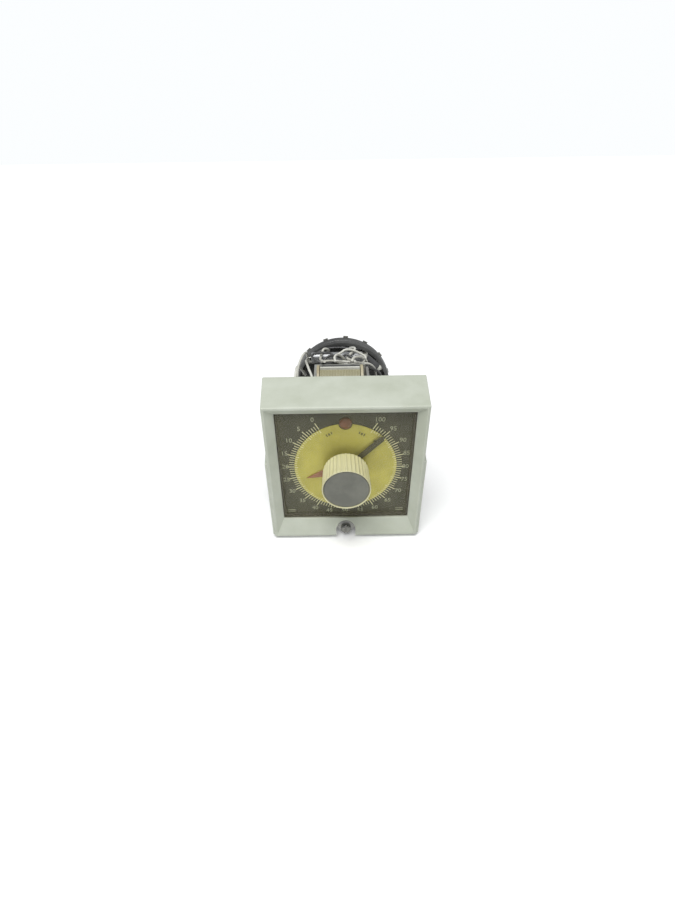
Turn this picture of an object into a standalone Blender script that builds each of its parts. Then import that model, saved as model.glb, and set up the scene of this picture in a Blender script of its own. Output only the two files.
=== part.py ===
"""Plug-in panel timer with a dial, a setting knob and a clock-motor mechanism.

Sizes below are in millimetres and are turned into metres as each piece is made.
Panel frame: X to the right, Y into the panel, Z up, with the origin at the centre of
the bezel's front plane.  An empty called "module" carries that frame, and puts the
object on the ground plane with its box centred over the world origin.
"""
import math

import bmesh
import bpy
from mathutils import Matrix, Vector

# ---------------------------------------------------------------- driving sizes
MM = 0.001
GAP = 0.3                    # clearance between pieces that touch
RUN = 0.3                    # clearance of a turning piece in its hole

BEZEL_WIDTH = 82.6
BEZEL_HEIGHT = 86.9
BEZEL_DEPTH = 29.4
BEZEL_FLARE = 2.2            # how much each side leans out by the back edge
BEZEL_WALL = 2.4
GRIP_STEP = 1.3              # the lower half of each side stands out for the fingers
GRIP_TOP = 9.0
RIM_LAND = 1.3
SIDE_BAR = 5.6               # widths of the frame round the window
TOP_BAR = 5.15
BOTTOM_BAR = 11.35
WINDOW_Y = 3.2
BAR_BACK_Y = 4.2             # back face of the window surround

LENS_THICK = 1.0
LENS_EDGE_GAP = 0.35
DIAL_Z = 2.6
DIAL_THICK = 0.8
SPACER_LIP = 1.2             # how far the black spacer shows inside the window edge
GOLD_RADIUS = 27.6
GOLD_THICK = 0.25
HAND_THICK = 0.4
LAMP_ORBIT = 27.7            # radius at which the lamp stands, over the gold disc's edge
LAMP_RADIUS = 3.3

KNOB_RADIUS = 12.7
KNOB_BACK_RADIUS = 12.2
KNOB_PROUD = 13.4            # front rim ahead of the bezel's front plane
KNOB_BACK_Y = 2.4
KNOB_FLUTES = 36
FLUTE_DEPTH = 0.4
CAP_RADIUS = 11.6
CAP_THICK = 0.9
SHAFT_RADIUS = 1.6
HUB_RADIUS = 3.0

SET_POINTER_REACH = 28.9
SET_POINTER_TURN = -45.0     # degrees, anticlockwise from straight up
PROGRESS_POINTER_REACH = 22.3
PROGRESS_POINTER_TURN = 107.4

GEAR_MODULE = 0.6
PROGRESS_TEETH = 50
WHEEL_TEETH = 40
PINION_TEETH = 12

PLATE_THICK = 1.6
FRONT_PLATE_Y = 14.0
GEAR_PLATE_Y = 28.0
REAR_PLATE_Y = 71.6
PLATE_SIDE_GAP = 1.4         # between the front plate and the inside of the bezel
PLATE_STEP = 4.0             # how much narrower the other two plates are
POST_RADIUS = 2.5
TOP_POST = (24.0, 20.0)
LOW_POST_INSET = (3.5, 3.9)  # from the plates' side and lower edges

MOTOR_RADIUS = 22.0
MOTOR_LENGTH = 20.0
COIL_X = -2.0
COIL_Y = 56.0
COIL_Z = 28.5
COIL_RADIUS = 9.5
COIL_HALF_LENGTH = 13.5
FLANGE_LIP = 0.5             # how far the bobbin's flanges stand out from the winding
FRAME_LOW_Z = 22.0
FRAME_HIGH_Z = 34.0
STRIP_THICK = 1.5

PLUG_RADIUS = 33.1
PLUG_Z = 3.1
PLUG_FRONT_Y = 97.0
PLUG_REAR_Y = 106.0
PLUG_WALL = 2.6
PLUG_FLOOR = 3.3
BOSS_RADIUS = 23.0
BOSS_LENGTH = 3.0
CONTACTS = 11
CONTACT_STEP = 24.0
CONTACT_MIDDLE = 4.6         # degrees clockwise from straight up
CONTACT_INSET = 4.5          # of the blades, from the plug's outer edge
CONTACT_WIDTH = 3.2
CONTACT_THICK = 0.8
CONTACT_PROUD = 0.6          # of the bent ends, past the plug's outer edge

SCREW_INSET = 4.05           # of the locking screw, from the bezel's lower edge
NOTCH_RADIUS = 5.6
SCREW_HEAD_RADIUS = 2.9
WASHER_RADIUS = 4.5
WIRE_RADIUS = 0.75

# ---------------------------------------------------------------- worked-out places
WINDOW_WIDTH = BEZEL_WIDTH - 2 * SIDE_BAR
WINDOW_TOP = BEZEL_HEIGHT / 2 - TOP_BAR
WINDOW_BOTTOM = -BEZEL_HEIGHT / 2 + BOTTOM_BAR
SCREW_Z = -BEZEL_HEIGHT / 2 + SCREW_INSET
FRONT_PLATE_HALF_WIDTH = BEZEL_WIDTH / 2 - BEZEL_WALL - PLATE_SIDE_GAP
CHASSIS_HALF_WIDTH = FRONT_PLATE_HALF_WIDTH - PLATE_STEP
PLATE_LOW_Z = WINDOW_BOTTOM - 4.3
LOW_POST = (CHASSIS_HALF_WIDTH - LOW_POST_INSET[0], PLATE_LOW_Z + LOW_POST_INSET[1])
FLANGE_RADIUS = COIL_RADIUS + FLANGE_LIP
CONTACT_RADIUS = PLUG_RADIUS - CONTACT_INSET
CONTACT_REACH = PLUG_RADIUS + CONTACT_PROUD
LENS_BACK_Y = WINDOW_Y + LENS_THICK
SET_POINTER_Y = LENS_BACK_Y + 0.4
PROGRESS_POINTER_Y = SET_POINTER_Y + HAND_THICK + GAP
GOLD_Y = PROGRESS_POINTER_Y + HAND_THICK + GAP
DIAL_Y = GOLD_Y + GOLD_THICK + GAP
SPACER_Y = BAR_BACK_Y + GAP
SPACER_THICK = DIAL_Y - GAP - SPACER_Y
LAMP_Z = DIAL_Z + LAMP_ORBIT
GROUND_Z = -(BEZEL_HEIGHT / 2 + BEZEL_FLARE)
FRONT_Y = -(PLUG_REAR_Y + BOSS_LENGTH - KNOB_PROUD) / 2

GEAR_1_Y = FRONT_PLATE_Y + PLATE_THICK + 2.4
GEAR_1_THICK = 2.0
GEAR_2_Y = GEAR_1_Y + GEAR_1_THICK + 2.4
GEAR_2_THICK = 1.8
CAM_Y = GEAR_2_Y + GEAR_2_THICK + 0.4
CAM_THICK = 1.8
MOTOR_Y = GEAR_PLATE_Y + PLATE_THICK + GAP


def centre_distance(teeth_a, teeth_b):
    """Distance between the axes of two meshed gears."""
    return GEAR_MODULE * (teeth_a + teeth_b) / 2


def meshed_axes():
    """Places of the intermediate arbor and the motor axis below the dial axis.

    The motor sits straight below the dial, and the arbor stands off to the left so
    that both pairs of gears are at their own centre distance.
    """
    first = centre_distance(PROGRESS_TEETH, PINION_TEETH)
    second = centre_distance(WHEEL_TEETH, PINION_TEETH)
    drop = 0.64 * (first + second)
    along = (first ** 2 - second ** 2 + drop ** 2) / (2 * drop)
    aside = math.sqrt(first ** 2 - along ** 2)
    return (-aside, DIAL_Z - along), (0.0, DIAL_Z - drop)


ARBOR_XZ, MOTOR_XZ = meshed_axes()


# ---------------------------------------------------------------- scene and materials
def clear_scene():
    """Remove every object, so that the script can run in any file."""
    for item in list(bpy.data.objects):
        bpy.data.objects.remove(item, do_unlink=True)


clear_scene()
parts = bpy.data.collections.new("panel_timer")
cutters = bpy.data.collections.new("cutters")
bpy.context.scene.collection.children.link(parts)
bpy.context.scene.collection.children.link(cutters)

module = bpy.data.objects.new("module", None)
module.location = (0.0, FRONT_Y * MM, -GROUND_Z * MM)
parts.objects.link(module)

FINISHES = {
    "putty": ((0.64, 0.67, 0.58), 0.55, 0.0),
    "smoke": ((0.55, 0.53, 0.42), 0.08, 0.0),
    "black": ((0.03, 0.03, 0.03), 0.5, 0.0),
    "dial_grey": ((0.09, 0.09, 0.07), 0.6, 0.0),
    "gold": ((0.55, 0.47, 0.14), 0.4, 0.6),
    "cream": ((0.66, 0.62, 0.42), 0.45, 0.0),
    "grey_disc": ((0.2, 0.2, 0.19), 0.5, 0.0),
    "hand_dark": ((0.11, 0.1, 0.06), 0.5, 0.0),
    "hand_red": ((0.5, 0.12, 0.08), 0.45, 0.0),
    "lamp_red": ((0.4, 0.06, 0.03), 0.2, 0.0),
    "glass": ((0.8, 0.8, 0.78), 0.05, 0.0),
    "zinc": ((0.62, 0.63, 0.62), 0.35, 0.9),
    "bright": ((0.8, 0.8, 0.8), 0.2, 1.0),
    "brass": ((0.7, 0.55, 0.25), 0.3, 1.0),
    "nylon": ((0.8, 0.79, 0.72), 0.45, 0.0),
    "tape": ((0.72, 0.6, 0.22), 0.5, 0.0),
    "can_grey": ((0.4, 0.4, 0.42), 0.4, 0.3),
    "insulation": ((0.72, 0.72, 0.68), 0.5, 0.0),
}


def material(finish):
    """A Principled material of a named finish, made afresh for each piece."""
    colour, roughness, metallic = FINISHES[finish]
    result = bpy.data.materials.new(finish)
    result.use_nodes = True
    shader = result.node_tree.nodes["Principled BSDF"]
    shader.inputs["Base Color"].default_value = (*colour, 1.0)
    shader.inputs["Roughness"].default_value = roughness
    shader.inputs["Metallic"].default_value = metallic
    return result


# ---------------------------------------------------------------- modelling helpers
def add_object(name, data, finish, location, rotation=(0.0, 0.0, 0.0)):
    """Link a mesh or curve as a piece of the module, or as a cutter if finish is None."""
    item = bpy.data.objects.new(name, data)
    (cutters if finish is None else parts).objects.link(item)
    item.parent = module
    item.location = [value * MM for value in location]
    item.rotation_euler = rotation
    if finish is None:
        item.hide_render = True
        item.display_type = "WIRE"
    else:
        data.materials.append(material(finish))
    return item


def facing(turn=0.0):
    """Rotation that stands a flat piece up to face the front, turned anticlockwise."""
    return (math.pi / 2, -math.radians(turn), 0.0)


def shade(item, angle=35.0):
    """Shade a mesh smooth, with its corners kept sharp."""
    item.data.shade_smooth()
    item.data.set_sharp_from_angle(angle=math.radians(angle))
    return item


def bevel(item, width, segments=2):
    """Round a piece's edges."""
    step = item.modifiers.new("round", "BEVEL")
    step.width = width * MM
    step.segments = segments
    step.limit_method = "ANGLE"
    step.angle_limit = math.radians(40)
    return item


def boolean(item, tool, operation="DIFFERENCE"):
    """Cut a piece with a tool, or join the tool to it."""
    step = item.modifiers.new("cut", "BOOLEAN")
    step.operation = operation
    step.solver = "EXACT"
    step.object = tool
    return item


def box(name, low, high, finish=None):
    """A box between two opposite corners, with its origin at its centre."""
    centre = [(a + b) / 2 for a, b in zip(low, high)]
    size = [(b - a) * MM for a, b in zip(low, high)]
    mesh = bpy.data.meshes.new(name)
    work = bmesh.new()
    bmesh.ops.create_cube(work, size=1.0, matrix=Matrix.Diagonal((*size, 1.0)))
    work.to_mesh(mesh)
    work.free()
    return add_object(name, mesh, finish, centre)


def tapered_box(name, front, back, finish=None):
    """A box whose front and back ends differ.

    Each end is (y, left, right, bottom, top); the sides run straight between them.
    """
    mesh = bpy.data.meshes.new(name)
    work = bmesh.new()
    bmesh.ops.create_cube(work, size=2.0)
    for corner in work.verts:
        y, left, right, bottom, top = back if corner.co.y > 0 else front
        x = right if corner.co.x > 0 else left
        z = top if corner.co.z > 0 else bottom
        corner.co = Vector((x, y, z)) * MM
    work.to_mesh(mesh)
    work.free()
    return add_object(name, mesh, finish, (0, 0, 0))


def cylinder(name, radius, y_front, y_back, xz, finish=None, segments=24):
    """A plain round bar that runs back from y_front to y_back."""
    mesh = bpy.data.meshes.new(name)
    work = bmesh.new()
    bmesh.ops.create_cone(work, cap_ends=True, segments=segments, radius1=radius * MM,
                          radius2=radius * MM, depth=(y_back - y_front) * MM)
    work.to_mesh(mesh)
    work.free()
    middle = (xz[0], (y_front + y_back) / 2, xz[1])
    return shade(add_object(name, mesh, finish, middle, facing()))


def turned(name, profile, xz, finish=None, steps=32, axis="Y", y=0.0):
    """A turned piece from a profile of (radius, place along the axis).

    The profile runs down the outer side from front to back (axis Y), or from left to
    right (axis X); it is closed by itself or by its two ends on the axis.
    """
    sign = -1 if axis == "Y" else 1
    points = [(radius * MM, 0.0, sign * place * MM) for radius, place in profile]
    loop = profile[0][0] > 0
    edges = [(n, (n + 1) % len(points)) for n in range(len(points) - (0 if loop else 1))]
    mesh = bpy.data.meshes.new(name)
    mesh.from_pydata(points, edges, [])
    rotation = facing() if axis == "Y" else (0.0, math.pi / 2, 0.0)
    item = add_object(name, mesh, finish, (xz[0], y, xz[1]), rotation)
    screw = item.modifiers.new("turn", "SCREW")
    screw.axis = "Z"
    screw.angle = math.tau
    screw.steps = steps
    screw.render_steps = steps
    screw.use_merge_vertices = True
    screw.merge_threshold = 0.00001
    screw.use_smooth_shade = False
    return item


def arc(radius, start, end, count, centre=(0.0, 0.0)):
    """Points of an arc, in degrees anticlockwise from +X."""
    step = math.radians(end - start) / count
    angles = [math.radians(start) + n * step for n in range(count + 1)]
    return [(centre[0] + radius * math.cos(a), centre[1] + radius * math.sin(a)) for a in angles]


def circle(radius, centre=(0.0, 0.0), count=24):
    """Points of a full circle."""
    return arc(radius, 0, 360, count, centre)[:-1]


def rounded(left, right, bottom, top, radius, count=4):
    """Outline of a rectangle with round corners."""
    return (arc(radius, 0, 90, count, (right - radius, top - radius))
            + arc(radius, 90, 180, count, (left + radius, top - radius))
            + arc(radius, 180, 270, count, (left + radius, bottom + radius))
            + arc(radius, 270, 360, count, (right - radius, bottom + radius)))


def solid_mesh(item):
    """Turn a curve object into a welded mesh object of the same place and name."""
    bpy.context.view_layer.update()
    graph = bpy.context.evaluated_depsgraph_get()
    mesh = bpy.data.meshes.new_from_object(item.evaluated_get(graph))
    work = bmesh.new()
    work.from_mesh(mesh)
    bmesh.ops.remove_doubles(work, verts=work.verts, dist=0.000002)
    work.to_mesh(mesh)
    work.free()
    curve, name = item.data, item.name
    where, rotation, homes = item.location.copy(), item.rotation_euler.copy(), item.users_collection
    is_cutter = item.display_type == "WIRE"
    item.name = name + "_outline"
    result = bpy.data.objects.new(name, mesh)
    homes[0].objects.link(result)
    result.parent = module
    result.location = where
    result.rotation_euler = rotation
    if is_cutter:
        result.hide_render = True
        result.display_type = "WIRE"
    bpy.data.objects.remove(item)
    bpy.data.curves.remove(curve)
    return shade(result)


def flat(name, outlines, thick, location, rotation, finish=None):
    """A flat piece from closed outlines; those inside the first one are its holes.

    The location is the middle of the thickness.
    """
    curve = bpy.data.curves.new(name, "CURVE")
    curve.dimensions = "2D"
    curve.fill_mode = "BOTH"
    curve.extrude = thick / 2 * MM
    for outline in outlines:
        spline = curve.splines.new("POLY")
        spline.points.add(len(outline) - 1)
        for point, (x, y) in zip(spline.points, outline):
            point.co = (x * MM, y * MM, 0.0, 1.0)
        spline.use_cyclic_u = True
    return solid_mesh(add_object(name, curve, finish, location, rotation))


def plate(name, outlines, y_front, thick, finish=None, xz=(0.0, 0.0), turn=0.0):
    """A flat piece that faces the front, from outlines in X and Z about xz."""
    place = (xz[0], y_front + thick / 2, xz[1])
    return flat(name, outlines, thick, place, facing(turn), finish)


def gear_outline(teeth, phase=0.0):
    """Outline of a spur gear with one tooth centred on the phase angle, in degrees."""
    pitch_radius = GEAR_MODULE * teeth / 2
    tip, root = pitch_radius + 0.85 * GEAR_MODULE, pitch_radius - 1.15 * GEAR_MODULE
    step = 360.0 / teeth
    outline = []
    for tooth in range(teeth):
        middle = phase + tooth * step
        for radius, share in ((root, -0.3), (tip, -0.1), (tip, 0.1), (root, 0.3)):
            angle = math.radians(middle + share * step)
            outline.append((radius * math.cos(angle), radius * math.sin(angle)))
    return outline


def smooth_path(points, per_span=6):
    """Evenly spread points on a smooth curve through the given ones (Catmull-Rom)."""
    ends = [points[0]] + list(points) + [points[-1]]
    path = []
    for n in range(len(points) - 1):
        p0, p1, p2, p3 = (Vector(p) for p in ends[n:n + 4])
        for k in range(per_span):
            t = k / per_span
            path.append(0.5 * (2 * p1 + (p2 - p0) * t + (2 * p0 - 5 * p1 + 4 * p2 - p3) * t ** 2
                               + (3 * p1 - p0 - 3 * p2 + p3) * t ** 3))
    path.append(Vector(points[-1]))
    return path


def tube(name, path, radius, finish):
    """A round wire along a path of points."""
    curve = bpy.data.curves.new(name, "CURVE")
    curve.dimensions = "3D"
    curve.bevel_depth = radius * MM
    curve.bevel_resolution = 2
    curve.use_fill_caps = True
    spline = curve.splines.new("POLY")
    spline.points.add(len(path) - 1)
    for point, place in zip(spline.points, path):
        point.co = (*(Vector(place) * MM), 1.0)
    return solid_mesh(add_object(name, curve, finish, (0, 0, 0)))


# ---------------------------------------------------------------- bezel and window
def bezel_end(y, inset=0.0, step=0.0):
    """The bezel's outline at a depth: (y, left, right, bottom, top), drawn in by inset."""
    lean = BEZEL_FLARE * y / BEZEL_DEPTH
    half_width = BEZEL_WIDTH / 2 + lean + step - inset
    half_height = BEZEL_HEIGHT / 2 + lean - inset
    return (y, -half_width, half_width, -half_height, half_height)


def make_bezel():
    """One-piece moulded surround: flared box, picture-frame bevel, notch and finger grips."""
    bezel = tapered_box("bezel", bezel_end(0), bezel_end(BEZEL_DEPTH), "putty")
    front, back = bezel_end(RIM_LAND, step=GRIP_STEP), bezel_end(BEZEL_DEPTH, step=GRIP_STEP)
    grips = tapered_box("bezel_grips", (*front[:4], GRIP_TOP), (*back[:4], GRIP_TOP))
    boolean(bezel, grips, "UNION")
    bevel(bezel, 0.6, 2)
    past = BEZEL_DEPTH + 1.0
    cavity = tapered_box("bezel_cavity", bezel_end(BAR_BACK_Y, BEZEL_WALL), bezel_end(past, BEZEL_WALL))
    boolean(bezel, cavity)
    half_window = WINDOW_WIDTH / 2
    slope_front = bezel_end(0, RIM_LAND)
    window = (WINDOW_Y, -half_window, half_window, WINDOW_BOTTOM, WINDOW_TOP)
    reach = 0.2 / WINDOW_Y   # the cutter starts just ahead of the front plane, on the same slopes
    ahead = tuple(a + (a - b) * reach for a, b in zip(slope_front, window))
    boolean(bezel, tapered_box("bezel_slopes", ahead, window))
    boolean(bezel, box("bezel_window", (-half_window, WINDOW_Y - 0.5, WINDOW_BOTTOM),
                       (half_window, BAR_BACK_Y + 0.5, WINDOW_TOP)))
    notch_outline = arc(NOTCH_RADIUS, 0, 180, 16, (0, SCREW_Z)) + [(-NOTCH_RADIUS, GROUND_Z - 2),
                                                                 (NOTCH_RADIUS, GROUND_Z - 2)]
    boolean(bezel, plate("bezel_notch", [notch_outline], -1.0, 10.0))
    return bezel


def window_outline(grow):
    """The window's outline, grown on every side."""
    half = WINDOW_WIDTH / 2 + grow
    return rounded(-half, half, WINDOW_BOTTOM - grow, WINDOW_TOP + grow, 0.8, 3)


def make_window():
    """Lens, black spacer, dial plate and gold disc, in order from the front."""
    shaft_hole = circle(SHAFT_RADIUS + 2 * RUN, (0, DIAL_Z))
    hub_hole = circle(HUB_RADIUS + 2 * RUN, (0, DIAL_Z))
    lamp_hole = circle(LAMP_RADIUS + GAP, (0, LAMP_Z), 24)
    plate("lens", [window_outline(-LENS_EDGE_GAP), shaft_hole], WINDOW_Y, LENS_THICK, "smoke")
    rim = 1.6
    plate("dial_spacer", [window_outline(rim), window_outline(-SPACER_LIP)], SPACER_Y, SPACER_THICK, "black")
    plate("dial_plate", [window_outline(rim), hub_hole, lamp_hole], DIAL_Y, DIAL_THICK, "dial_grey")
    gold = plate("gold_disc", [circle(GOLD_RADIUS, (0, DIAL_Z), 64), hub_hole], GOLD_Y, GOLD_THICK, "gold")
    relief = cylinder("gold_relief", LAMP_RADIUS + GAP, GOLD_Y - 1, GOLD_Y + 1, (0, LAMP_Z), segments=24)
    boolean(gold, relief)


# ---------------------------------------------------------------- setting side
def make_knob():
    """Fluted knob, a little wider at the front, with a recess for its cap and a blind bore."""
    knob = cylinder("knob", KNOB_RADIUS, -KNOB_PROUD, KNOB_BACK_Y, (0, DIAL_Z), "cream", 4 * KNOB_FLUTES)
    half = (KNOB_PROUD + KNOB_BACK_Y) / 2 * MM
    for corner in knob.data.vertices:
        radius = KNOB_RADIUS if corner.co.z > 0 else KNOB_BACK_RADIUS
        turn = math.atan2(corner.co.y, corner.co.x)
        place = round(turn / math.tau * 4 * KNOB_FLUTES) % 4
        radius -= FLUTE_DEPTH if place >= 2 else 0.0
        corner.co.x = radius * MM * math.cos(turn)
        corner.co.y = radius * MM * math.sin(turn)
        corner.co.z = math.copysign(half, corner.co.z)
    recess_floor = -KNOB_PROUD + GAP + CAP_THICK + GAP
    boolean(knob, cylinder("knob_recess", CAP_RADIUS + GAP, -KNOB_PROUD - 1, recess_floor, (0, DIAL_Z),
                           segments=64))
    boolean(knob, cylinder("knob_bore", SHAFT_RADIUS + GAP, shaft_front() - GAP, KNOB_BACK_Y + 1,
                           (0, DIAL_Z)))
    cap_front = -KNOB_PROUD + GAP
    cap = cylinder("knob_cap", CAP_RADIUS, cap_front, cap_front + CAP_THICK, (0, DIAL_Z), "grey_disc", 64)
    bevel(cap, 0.15, 1)


def shaft_front():
    """Depth of the setting shaft's front end, inside the knob."""
    return -KNOB_PROUD + 5.5


def hand_outline(ring, reach, wide, point):
    """A hand that points up: a ring at its root and a pointed arm."""
    angle = math.degrees(math.asin(wide / 2 / ring))
    root = arc(ring, 90 + angle, 450 - angle, 28)
    return root + [(wide / 2, reach - point), (0, reach), (-wide / 2, reach - point)]


def make_setting():
    """The knob's shaft and the dark hand that it carries."""
    cylinder("set_shaft", SHAFT_RADIUS, shaft_front(), GEAR_PLATE_Y + PLATE_THICK, (0, DIAL_Z), "bright", 24)
    outline = hand_outline(5.0, SET_POINTER_REACH, 3.1, 2.4)
    plate("set_pointer", [outline, circle(SHAFT_RADIUS + GAP, count=24)], SET_POINTER_Y, HAND_THICK,
          "hand_dark", (0, DIAL_Z), SET_POINTER_TURN)


def make_progress():
    """The red hand, its tubular hub, the large gear and the trip cam on one tube."""
    bore = circle(HUB_RADIUS + GAP, count=24)
    outline = hand_outline(5.2, PROGRESS_POINTER_REACH, 4.4, 9.5)
    plate("progress_pointer", [outline, bore], PROGRESS_POINTER_Y, HAND_THICK, "hand_red",
          (0, DIAL_Z), PROGRESS_POINTER_TURN)
    inner = SHAFT_RADIUS + RUN
    front, back = PROGRESS_POINTER_Y, CAM_Y + CAM_THICK + 0.4
    turned("progress_hub", [(HUB_RADIUS, front), (HUB_RADIUS, back), (inner, back), (inner, front)],
           (0, DIAL_Z), "bright", 24)
    towards_arbor = direction((0, DIAL_Z), ARBOR_XZ)
    plate("progress_gear", [gear_outline(PROGRESS_TEETH, towards_arbor), bore], GEAR_1_Y, GEAR_1_THICK,
          "brass", (0, DIAL_Z))
    cam = arc(9.0, 0, 320, 32) + [(6.4, -5.2), (7.2, -1.2)]
    plate("trip_cam", [cam, bore], CAM_Y, CAM_THICK, "nylon", (0, DIAL_Z))


def direction(start, end):
    """Angle from one axis to another, in degrees anticlockwise from +X."""
    return math.degrees(math.atan2(end[1] - start[1], end[0] - start[0]))


def pinion_on_bar(name, xz, phase, y_teeth, teeth_thick, bar_radius, y_bar, finish):
    """A pinion cut in one with its arbor."""
    pinion = plate(name, [gear_outline(PINION_TEETH, phase)], y_teeth, teeth_thick, finish, xz)
    bar = cylinder(name + "_bar", bar_radius, *y_bar, xz, segments=20)
    return boolean(pinion, bar, "UNION")


def make_train():
    """Intermediate arbor with its wheel, and the motor pinion that drives it."""
    half_tooth = 180.0 / PINION_TEETH
    towards_dial = direction(ARBOR_XZ, (0, DIAL_Z))
    plate_hole_y = (FRONT_PLATE_Y + GAP, GEAR_PLATE_Y + PLATE_THICK - GAP)
    pinion_on_bar("intermediate_arbor", ARBOR_XZ, towards_dial + half_tooth, GEAR_1_Y - 0.4,
                  GEAR_1_THICK + 0.8, 1.5, plate_hole_y, "bright")
    towards_motor = direction(ARBOR_XZ, MOTOR_XZ)
    wheel = [gear_outline(WHEEL_TEETH, towards_motor), circle(1.5 + GAP, count=20)]
    plate("intermediate_gear", wheel, GEAR_2_Y, GEAR_2_THICK, "brass", ARBOR_XZ)
    back_to_arbor = direction(MOTOR_XZ, ARBOR_XZ)
    pinion_on_bar("motor_pinion", MOTOR_XZ, back_to_arbor + half_tooth, GEAR_2_Y - 0.3,
                  GEAR_2_THICK + 0.6, 1.2, (GEAR_2_Y - 0.6, MOTOR_Y + 2.0), "bright")


# ---------------------------------------------------------------- chassis
def make_chassis():
    """Three plates on four posts; the rear plate ends in a foot and carries a shelf."""
    half = FRONT_PLATE_HALF_WIDTH
    front = [rounded(-half, half, PLATE_LOW_Z, WINDOW_TOP, 3), circle(HUB_RADIUS + RUN, (0, DIAL_Z)),
             circle(1.5 + RUN, ARBOR_XZ, 20), circle(LAMP_RADIUS - 0.7, (0, LAMP_Z), 20)]
    plate("front_plate", front, FRONT_PLATE_Y, PLATE_THICK, "zinc")
    half = CHASSIS_HALF_WIDTH
    post_holes = [circle(POST_RADIUS + GAP, (side * x, z), 24)
                  for x, z in (TOP_POST, LOW_POST) for side in (-1, 1)]
    middle = [rounded(-half, half, PLATE_LOW_Z, FRAME_HIGH_Z + 1, 3),
              circle(SHAFT_RADIUS + RUN, (0, DIAL_Z), 24), circle(1.5 + RUN, ARBOR_XZ, 20),
              circle(3.0, MOTOR_XZ, 20), *post_holes]
    plate("gear_plate", middle, GEAR_PLATE_Y, PLATE_THICK, "zinc")
    top, shelf_top = TOP_POST[1] + POST_RADIUS + 0.6, shelf_height()
    shoulder = half - TOP_POST[0]
    tongue = [(10, top), (10, shelf_top), (-12, shelf_top), (-12, top)]
    outline = (arc(shoulder, 0, 90, 8, (half - shoulder, top - shoulder)) + tongue
               + arc(shoulder, 90, 180, 8, (shoulder - half, top - shoulder))
               + rounded(-half, half, GROUND_Z, top, 3)[10:])
    rear = plate("rear_plate", [outline], REAR_PLATE_Y, PLATE_THICK, "zinc")
    inside = REAR_PLATE_Y + 0.5
    boolean(rear, box("rear_foot", (-22, inside, GROUND_Z), (22, REAR_PLATE_Y + 12, GROUND_Z + STRIP_THICK)),
            "UNION")
    boolean(rear, box("rear_shelf", (-12, inside, shelf_top - STRIP_THICK),
                      (10, REAR_PLATE_Y + 20, shelf_top)), "UNION")
    posts_y = (FRONT_PLATE_Y + PLATE_THICK + GAP, REAR_PLATE_Y - GAP)
    for name, (x, z) in (("top", TOP_POST), ("low", LOW_POST)):
        cylinder(f"post_{name}_left", POST_RADIUS, *posts_y, (-x, z), "bright", 24)
        cylinder(f"post_{name}_right", POST_RADIUS, *posts_y, (x, z), "bright", 24)


def make_lamp():
    """Red jewel in the dial, the small bulb behind it and the bulb's holder."""
    jewel_y = SET_POINTER_Y + 0.2
    radius, wall = LAMP_RADIUS, 0.7
    dome = [(radius * math.sin(math.radians(a)), jewel_y + 1.6 * (1 - math.cos(math.radians(a))))
            for a in range(0, 91, 15)]
    back = FRONT_PLATE_Y - 4.0
    inner = [(radius - wall, back), (radius - wall, jewel_y + 2.6), (0.0, jewel_y + 2.0)]
    turned("lamp_lens", dome + [(radius, back)] + inner, (0, LAMP_Z), "lamp_red", 32)
    bulb = radius - wall - GAP
    tip = jewel_y + 3.0
    glass = [(bulb * math.sin(math.radians(a)), tip + bulb * (1 - math.cos(math.radians(a))))
             for a in range(0, 91, 18)]
    end = FRONT_PLATE_Y + PLATE_THICK + 3
    turned("lamp_bulb", glass + [(bulb, end), (0.0, end)], (0, LAMP_Z), "glass", 24)
    ring_y = (back + GAP, FRONT_PLATE_Y - GAP)
    inside = bulb + GAP
    turned("lamp_holder", [(radius + 1.2, ring_y[0]), (radius + 1.2, ring_y[1]), (inside, ring_y[1]),
                           (inside, ring_y[0])], (0, LAMP_Z), "black", 32)


def make_motor():
    """Clock motor: a drawn can with a stepped back and a bearing hole in its face."""
    back = MOTOR_Y + MOTOR_LENGTH
    profile = [(0.0, MOTOR_Y), (MOTOR_RADIUS - 0.8, MOTOR_Y), (MOTOR_RADIUS, MOTOR_Y + 0.8),
               (MOTOR_RADIUS, back - 3), (MOTOR_RADIUS - 2.5, back - 2.4), (MOTOR_RADIUS - 3, back - 0.6),
               (MOTOR_RADIUS - 4, back), (0.0, back)]
    motor = turned("motor_case", profile, MOTOR_XZ, "zinc", 40)
    boolean(motor, cylinder("motor_bore", 1.2 + RUN, MOTOR_Y - 1, MOTOR_Y + 2.5, MOTOR_XZ, segments=20))


# ---------------------------------------------------------------- solenoid and switches
CORE_RADIUS = 2.7
ARMATURE_X = COIL_X + COIL_HALF_LENGTH + 2.5
ARMATURE_HINGE_Y = COIL_Y + FLANGE_RADIUS + 2.0
ARMATURE_FRONT_Y = COIL_Y - FLANGE_RADIUS - 4.0


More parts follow.
